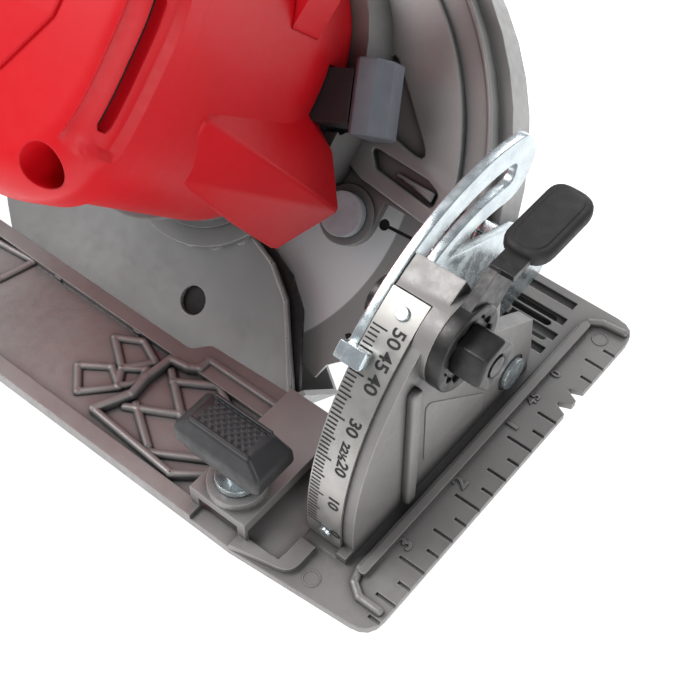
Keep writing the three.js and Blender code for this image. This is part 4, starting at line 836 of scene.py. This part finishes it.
settle(joined("paddle_cover", [paddle, inset]), "bevel_lever", "soft_rubber", ("lever_paddle",))


def toothed(middle, radius, count, wave, teeth=12):
    """A circle whose radius waves in and out, as a toothed washer's does."""
    outline = []
    for k in range(count):
        turn = k * math.tau / count
        reach = radius + wave * math.cos(turn * teeth)
        outline.append((middle[0] + reach * math.cos(turn), middle[1] + reach * math.sin(turn)))
    return outline


washer = plate("lever_washer", circle(LOCK, 12.6, 48), 9.8, 14.4, "YZ",
               holes=[toothed(LOCK, 9.2, 96, 0.7)], roll=0.6)
disc = plate("lever_washer", circle(LOCK, 9.9, 48), 9.9, 12.9, "YZ",
             holes=[circle(LOCK, 4.9, 48)], roll=0.3)
settle(joined("lever_washer", [washer, disc]), "bevel_lever", "dark_steel")
hexagon = []
for k in range(6):
    turn = math.radians(8 + 60 * k)
    hexagon.append((LOCK[0] + 7.9 * math.cos(turn), LOCK[1] + 7.9 * math.sin(turn), 1.0))
bolt_hole = circle(LOCK, BOLT_HOLE, 28)
nut = plate("lever_nut", fillet(hexagon, 3), 13.2, 22.8, "YZ", holes=[bolt_hole], roll=1.0, steps=3)
collar = plate("lever_nut", circle(LOCK, 4.9, 48), 10.4, 13.6, "YZ", holes=[bolt_hole], roll=0.2)
settle(joined("lever_nut", [nut, collar]), "bevel_lever", "dark_steel", ("bevel_lock_nut",))
print("lever lock at y, z:", [round(v, 1) for v in LOCK])

# %% [markdown]
# The bevel quadrant is a zinc-plated stamping: a slotted band with a round end, a web
# down to the pivot, two ears for the depth pin and a small folded pointer. Laser-sharp
# outlines look wrong on a stamping, so every edge is rolled.
# %% Bevel quadrant


def bevel_point(radius, angle):
    """Angles run from straight up towards the motor side, saw upright."""
    turn = math.radians(angle)
    return (BEVEL_Y - radius * math.sin(turn), BEVEL_Z + radius * math.cos(turn))


def bevel_arc(radius, start, end, steps=20):
    """Points along the arc of that radius about the bevel pins."""
    return [bevel_point(radius, start + (end - start) * k / steps) for k in range(steps + 1)]


def round_end(radius, half, angle, start, end, steps=10):
    """Half a circle closing a curved band at an angle."""
    y, z = bevel_point(radius, angle)
    turns = [math.radians(start + (end - start) * k / steps) for k in range(1, steps)]
    return [(y + half * math.sin(turn), z + half * math.cos(turn)) for turn in turns]


BAND_END = 32.5               # where the band's middle ends, in degrees from straight up
SLOT_FROM, SLOT_TO = 34, 88
DEPTH_PIN = (-21, 38)
PIN_HOLE = 4.3
PLATE_REAR, PLATE_FRONT = -10.4, -7.4
quadrant_outline = (
    bevel_arc(73.3, 93.5, BAND_END, 28)
    + round_end(62.7, 10.6, BAND_END, -BAND_END, 180 - BAND_END, 12)
    + bevel_arc(52.1, BAND_END, 60, 12)
    + [(BEVEL_Y - 12, 50), (16, 50), (16, 36.6), (-7, 8.9), (-14.6, 3.1), (-20.6, 7.1)]
    + bevel_arc(54, 96, 93.5, 2)
)
quadrant_slot = (
    bevel_arc(65.4, SLOT_TO, SLOT_FROM, 24) + round_end(62.0, 3.4, SLOT_FROM, -34, 146, 8)
    + bevel_arc(58.6, SLOT_FROM, SLOT_TO, 24) + round_end(62.0, 3.4, SLOT_TO, 92, 272, 8)
)
quadrant_parts = [plate("quadrant", quadrant_outline, PLATE_REAR, PLATE_FRONT, "YZ", LEAN,
                        [quadrant_slot, circle((BEVEL_Y, BEVEL_Z), PIN_HOLE, 24)], roll=0.5, steps=3)]
ear = [(-8.5, 46.4), (-21, 46.4)] + arc(DEPTH_PIN, 8.4, 90, 270, 14) + [(-21, 29.6), (-8.5, 29.6)]
for near in (9.8, -12.8):
    quadrant_parts.append(plate("ear", ear, near, near + 3, "XZ", LEAN,
                                [circle(DEPTH_PIN, PIN_HOLE, 24)], roll=0.4))
tab = bevel_arc(78.4, 90.2, 93.6, 4) + bevel_arc(72.4, 93.6, 90.2, 4)
quadrant_parts.append(plate("pointer", tab, PLATE_REAR, PLATE_FRONT, "YZ", LEAN, roll=0.6))
tip = bevel_arc(78.6, 90.0, 93.7, 4) + bevel_arc(75.2, 93.7, 90.0, 4)
quadrant_parts.append(plate("pointer", tip, -8.4, -1.6, "YZ", LEAN, roll=1.1, steps=4))
print("quadrant pieces:", len(quadrant_parts))
settle(joined("quadrant_plate", quadrant_parts), "bevel_frame", "zinc_plate", ("bevel_quadrant",))

# %% [markdown]
# The fence knob is a moulded grip on a screw: a long rounded bar, pinched in above and
# below, with two rails and a field of small pyramids for the thumb. The bar is an
# outline with thickness that is then pinched by height; a sculpted knob would not be
# any closer, and its size would be harder to check.
# %% Fence knob
KNOB = (-27.0, -91.0, 32.4)
HALF_GRIP = 7.6
PYRAMID_STEP = 1.15
side_view = fillet([(-9.8, -7.8, 2.5), (-15, -2.6, 2.5), (-15, 2.8, 2.5), (-10.4, 7.6, 2),
                    (10.4, 7.6, 2), (15, 2.8, 2.5), (15, -2.6, 2.5), (9.8, -7.8, 2.5)], 4)
grip_outline = [(KNOB[0] + x, KNOB[2] + z) for x, z in side_view]
grip = plate("knob", grip_outline, KNOB[1] - HALF_GRIP, KNOB[1] + HALF_GRIP, "XZ", roll=1.3, steps=3)
for vertex in grip.data.vertices:
    height = (vertex.co.z / MM - KNOB[2] - 0.5) / 7.0
    pinch = 1 - 0.3 * min(1, max(0, height)) - 0.22 * min(1, max(0, -height - 0.25))
    vertex.co.y = (KNOB[1] + (vertex.co.y / MM - KNOB[1]) * pinch) * MM
knob_parts = [grip]
work = bmesh.new()
for row in range(-3, 4):
    for column in range(-7, 8):
        if (row + column) % 2:
            continue
        x, y = KNOB[0] + column * PYRAMID_STEP, KNOB[1] + row * PYRAMID_STEP
        top = work.verts.new(Vector((x, y, KNOB[2] + 8.35)) * MM)
        base = [work.verts.new(Vector((x + dx * 1.02, y + dy * 1.02, KNOB[2] + 7.3)) * MM)
                for dx, dy in ((1, 0), (0, 1), (-1, 0), (0, -1))]
        for k in range(4):
            work.faces.new((base[k], base[(k + 1) % 4], top))
        work.faces.new(base[::-1])
knurl_mesh = bpy.data.meshes.new("knurl")
work.to_mesh(knurl_mesh)
work.free()
knob_parts.append(placed("knurl", knurl_mesh))
for side in (-1, 1):
    rail = KNOB[1] + side * 4.7
    knob_parts.append(bar("knob", (KNOB[0] - 9.5, rail), (KNOB[0] + 9.5, rail), 1.1,
                          KNOB[2] + 6.8, KNOB[2] + 8.5))
print("knob pieces:", len(knob_parts))
settle(joined("fence_knob", knob_parts), "fence_screw", "black_nylon", ("fence_screw_knob",))

# %% [markdown]
# The housing is a moulded shell: an oval that is squarer below, drawn in at the gear
# end, with a raised band round the motor end that has a long cooling slot in a shallow
# recess. A grid wrapped round the oval can be pushed out and in by a height rule, so
# band and recess share one smooth skin; booleans would leave hard seams.
# %% Motor housing
HOUSE = {"x": -117.0, "z": 55.0, "wide": 51.0, "tall": 49.8, "near": -36.0, "dome": 12.0}
ROUND = 220                   # points round the oval
DOME_RINGS = 14
BAND_HEIGHT, RECESS_DEPTH = 1.7, 1.9


def oval(turn, grow):
    """A point on the housing's outline, turn in radians, and how far it is grown."""
    c, s = math.cos(turn), math.sin(turn)
    power = 2.1 if s > 0 else 3.7
    wide, tall = HOUSE["wide"] + grow, HOUSE["tall"] + grow
    reach = (abs(c) ** power + abs(s) ** power) ** (-1 / power)
    return HOUSE["x"] + wide * reach * c, HOUSE["z"] + tall * reach * s


def step(value, low, high):
    """0 below low, 1 above high and a smooth rise between."""
    t = min(1.0, max(0.0, (value - low) / (high - low)))
    return t * t * (3 - 2 * t)


def relief(x, y, z):
    """Height of the skin over the plain oval, in millimetres."""
    height = BAND_HEIGHT * step(-y, 117.4, 118.6)
    if x > HOUSE["x"]:
        beside_slot = step(-y, 126.4, 127.6) * (1 - step(-y, 138.0, 139.2)) * step(z, 26.0, 28.0)
        height -= RECESS_DEPTH * beside_slot
    return height


rows = []
levels = [HOUSE["near"] - k for k in range(93)]
for y in levels:
    rows.append((y, -4.6 * (1 - step(-y, 36, 64))))
for k in range(1, DOME_RINGS + 1):
    swing = math.radians(84 * k / DOME_RINGS)
    rows.append((levels[-1] - HOUSE["dome"] * math.sin(swing), -HOUSE["dome"] * (1 - math.cos(swing))))
vertices = []
for y, grow in rows:
    for k in range(ROUND):
        turn = k * math.tau / ROUND
        x, z = oval(turn, grow)
        x, z = oval(turn, grow + relief(x, y, z))
        vertices.append(LEAN @ Vector((x, y, z)))
faces = []
for row in range(len(rows) - 1):
    for k in range(ROUND):
        a, b = row * ROUND + k, row * ROUND + (k + 1) % ROUND
        faces.append((a, b, b + ROUND, a + ROUND))
faces.append(tuple(range(ROUND))[::-1])
last = (len(rows) - 1) * ROUND
faces.append(tuple(range(last, last + ROUND)))
shell = mesh_object("housing_shell", vertices, faces)
crease(shell.data, math.radians(50))
print("housing grid:", len(rows), "x", ROUND)

# %% [markdown]
# Three openings are really cut in the shell: the well that the spindle lock slides in,
# the long cooling slot, which bends with the oval, and the well of one housing screw.
# Painted openings would show as flat marks as soon as the light moves.
# %% Openings in the housing
LOCK_SLOPE = math.radians(22)
along = Vector((math.cos(LOCK_SLOPE), 0, math.sin(LOCK_SLOPE)))
across = Vector((-math.sin(LOCK_SLOPE), 0, math.cos(LOCK_SLOPE)))
lock_middle = Vector((-53.5, 0, 63.5))
SLOT_LOW, SLOT_HIGH, SLOT_Y = 31.5, 65.5, -132.8
SLOT_STEPS = 24
SCREW_WELL = (-76.5, 18.5)
corners = []
for a in (-33, 12):
    for w, y in ((-8.4, -49.8), (8.4, -49.8), (8.4, -30), (-8.4, -30)):
        corners.append(LEAN @ (lock_middle + along * a + across * w + Vector((0, y, 0))))
carve(shell, mesh_object("lock_well", corners, BOX_FACES))
slot_path = []
for k in range(SLOT_STEPS + 1):
    z = SLOT_LOW + (SLOT_HIGH - SLOT_LOW) * k / SLOT_STEPS
    turn = math.asin(max(-1, min(1, (z - HOUSE["z"]) / HOUSE["tall"])))
    for _ in range(6):
        turn += (z - oval(turn, 0)[1]) / HOUSE["tall"]
    slot_path.append(oval(turn, 0))
vertices, faces = [], []
for k, (x, z) in enumerate(slot_path):
    half = 1.7 if 0 < k < SLOT_STEPS else 1.7 * 0.6
    for dx, dy in ((-6, -half), (6, -half), (6, half), (-6, half)):
        vertices.append(LEAN @ Vector((x + dx, SLOT_Y + dy, z)))
    if k:
        a = 4 * (k - 1)
        faces += [(a + i, a + (i + 1) % 4, a + 4 + (i + 1) % 4, a + 4 + i) for i in range(4)]
faces += [(3, 2, 1, 0), tuple(range(len(vertices) - 4, len(vertices)))]
carve(shell, mesh_object("slot_cutter", vertices, faces))
carve(shell, plate("screw_well", circle(SCREW_WELL, 5.2, 28), -141, -122, "XZ", LEAN, roll=0.05))
settle(shell, "saw_body", "red_nylon", ("motor_housing",))
print("housing faces after cutting:", len(shell.data.polygons))

# %% [markdown]
# A thin black strip just inside the cooling slot is painted shade for its depth, and the end
# of the housing carries a raised label panel, left blank. A faceted nose covers the drive
# under the spindle lock: it is the hull of a few corners with rounded edges, which is how
# such a form is drawn first.
# %% Painted shade in the slot, label panel and nose
SLOT_SHADE_NEAR, SLOT_SHADE_FAR = 4.2, 5.2          # how deep the painted shade strip lies in the slot
NOSE = [(-65.2, -101, 42), (-69.6, -96, 23.6), (-58.2, -56, 32), (-52.4, -37, 29.6),
        (-65.6, -37, 9.8), (-62.6, -37, 43.5), (-69, -60, 14.5), (-72, -60, 56), (-95, -60, 20),
        (-95, -98, 30), (-90, -37, 14), (-90, -37, 60), (-90, -98, 50)]
# Painted shade: a thin black strip just inside the cooling slot.
slot_shade_outline = [(x - SLOT_SHADE_NEAR, z) for x, z in slot_path]
slot_shade_outline += [(x - SLOT_SHADE_FAR, z) for x, z in reversed(slot_path)]
slot_painted_shade = plate("slot_painted_shade", slot_shade_outline, -130, -136, "XZ", LEAN, roll=0.2)
settle(slot_painted_shade, "saw_body", "ink_and_painted_shade")
label_outline = fillet([(-87, 78, 4), (-88, 50, 4), (-97, 32, 5), (-124, 27, 5), (-150, 42, 4),
                        (-150, 78, 4)])
label = plate("housing_label", label_outline, -138.6, -141.0, "XZ", LEAN, roll=0.5, steps=3)
settle(label, "saw_body", "red_nylon")
work = bmesh.new()
for point in NOSE:
    work.verts.new(LEAN @ Vector(point))
bmesh.ops.convex_hull(work, input=work.verts)
bmesh.ops.dissolve_limit(work, angle_limit=math.radians(3), verts=work.verts, edges=work.edges)
bmesh.ops.recalc_face_normals(work, faces=work.faces)
nose_mesh = bpy.data.meshes.new("housing_nose")
work.to_mesh(nose_mesh)
work.free()
nose = placed("housing_nose", nose_mesh)
bevel(nose, 1.3, 4, 8).harden_normals = True
for polygon in nose_mesh.polygons:
    polygon.use_smooth = True
settle(nose, "saw_body", "red_nylon")
print("nose corners:", len(NOSE))

# %% [markdown]
# The gear case is cast with the guard and closes the drive behind the housing. Its skin
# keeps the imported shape, except for a crescent cut away under the arbor, where the real
# casting stands back and the three round studs of the guard show. One cutter shaped as
# that crescent does it; redrawing the whole casting would risk its seats.
# %% Gear case
gear_case = dressed("gear_case", "guard_casting")
trim = arc(ARBOR, 46, 185, 330, 24) + arc(ARBOR, 25.4, 330, 185, 24)
carve(gear_case, plate("case_trim", trim, -17.2, -46, "XZ", LEAN, roll=0.05))
print("gear case faces after trimming:", len(gear_case.data.polygons))

# %% [markdown]
# The spindle lock is a long black stem with a pale grey push cap. The cap is a faceted
# bar, so its outline is drawn looking down the saw and extruded along the blade axis.
# %% Spindle lock cap
CAP_HALF = 10.8
cap_space = LEAN @ Matrix((
    (along.x, 0, across.x, lock_middle.x), (0, 1, 0, 0),
    (along.z, 0, across.z, lock_middle.z), (0, 0, 0, 1),
))
cap_profile = fillet([(-6.0, -34.6, 0.8), (1.2, -34.0, 0.4), (3.7, -37.6, 0.4), (3.7, -44.6, 0.4),
                      (0.6, -49.6, 0.4), (-4.4, -50.6, 0.8), (-6.0, -49.0, 0.6)], 3)
cap = plate("lock_cap", cap_profile, -CAP_HALF, CAP_HALF, "XY", cap_space, roll=0.7, steps=3)
settle(cap, "spindle_lock", "grey_nylon", ("spindle_lock_cap",))
print("cap corners:", len(cap_profile))

# %% [markdown]
# Everything else keeps its CAD shape: a creased copy for what shows, the node itself for
# what hides inside. The stem of the spindle lock loses a fifth of a millimetre at its deep
# end, so that it stops just short of the bearing plate when it is pushed home.
# %% Dress the rest
for node, finish_name in INNER.items():
    paint(frame["nodes"][node], finish_name)
skins = {node: dressed(node, finish_name) for node, finish_name in OUTER.items()}
DEEP_END = -25.9
STEM_TRIM = 0.2
push = (LEAN @ (lock_middle + along) - LEAN @ lock_middle).normalized()
for vertex in skins["spindle_lock_stem"].data.vertices:
    if (vertex.co - LEAN @ lock_middle).dot(push) < DEEP_END * MM:
        vertex.co += push * STEM_TRIM * MM
remade = set(frame["nodes"]) - set(OUTER) - set(INNER)
print("dressed", len(skins), "outer and", len(INNER), "inner nodes; remade:", sorted(remade))
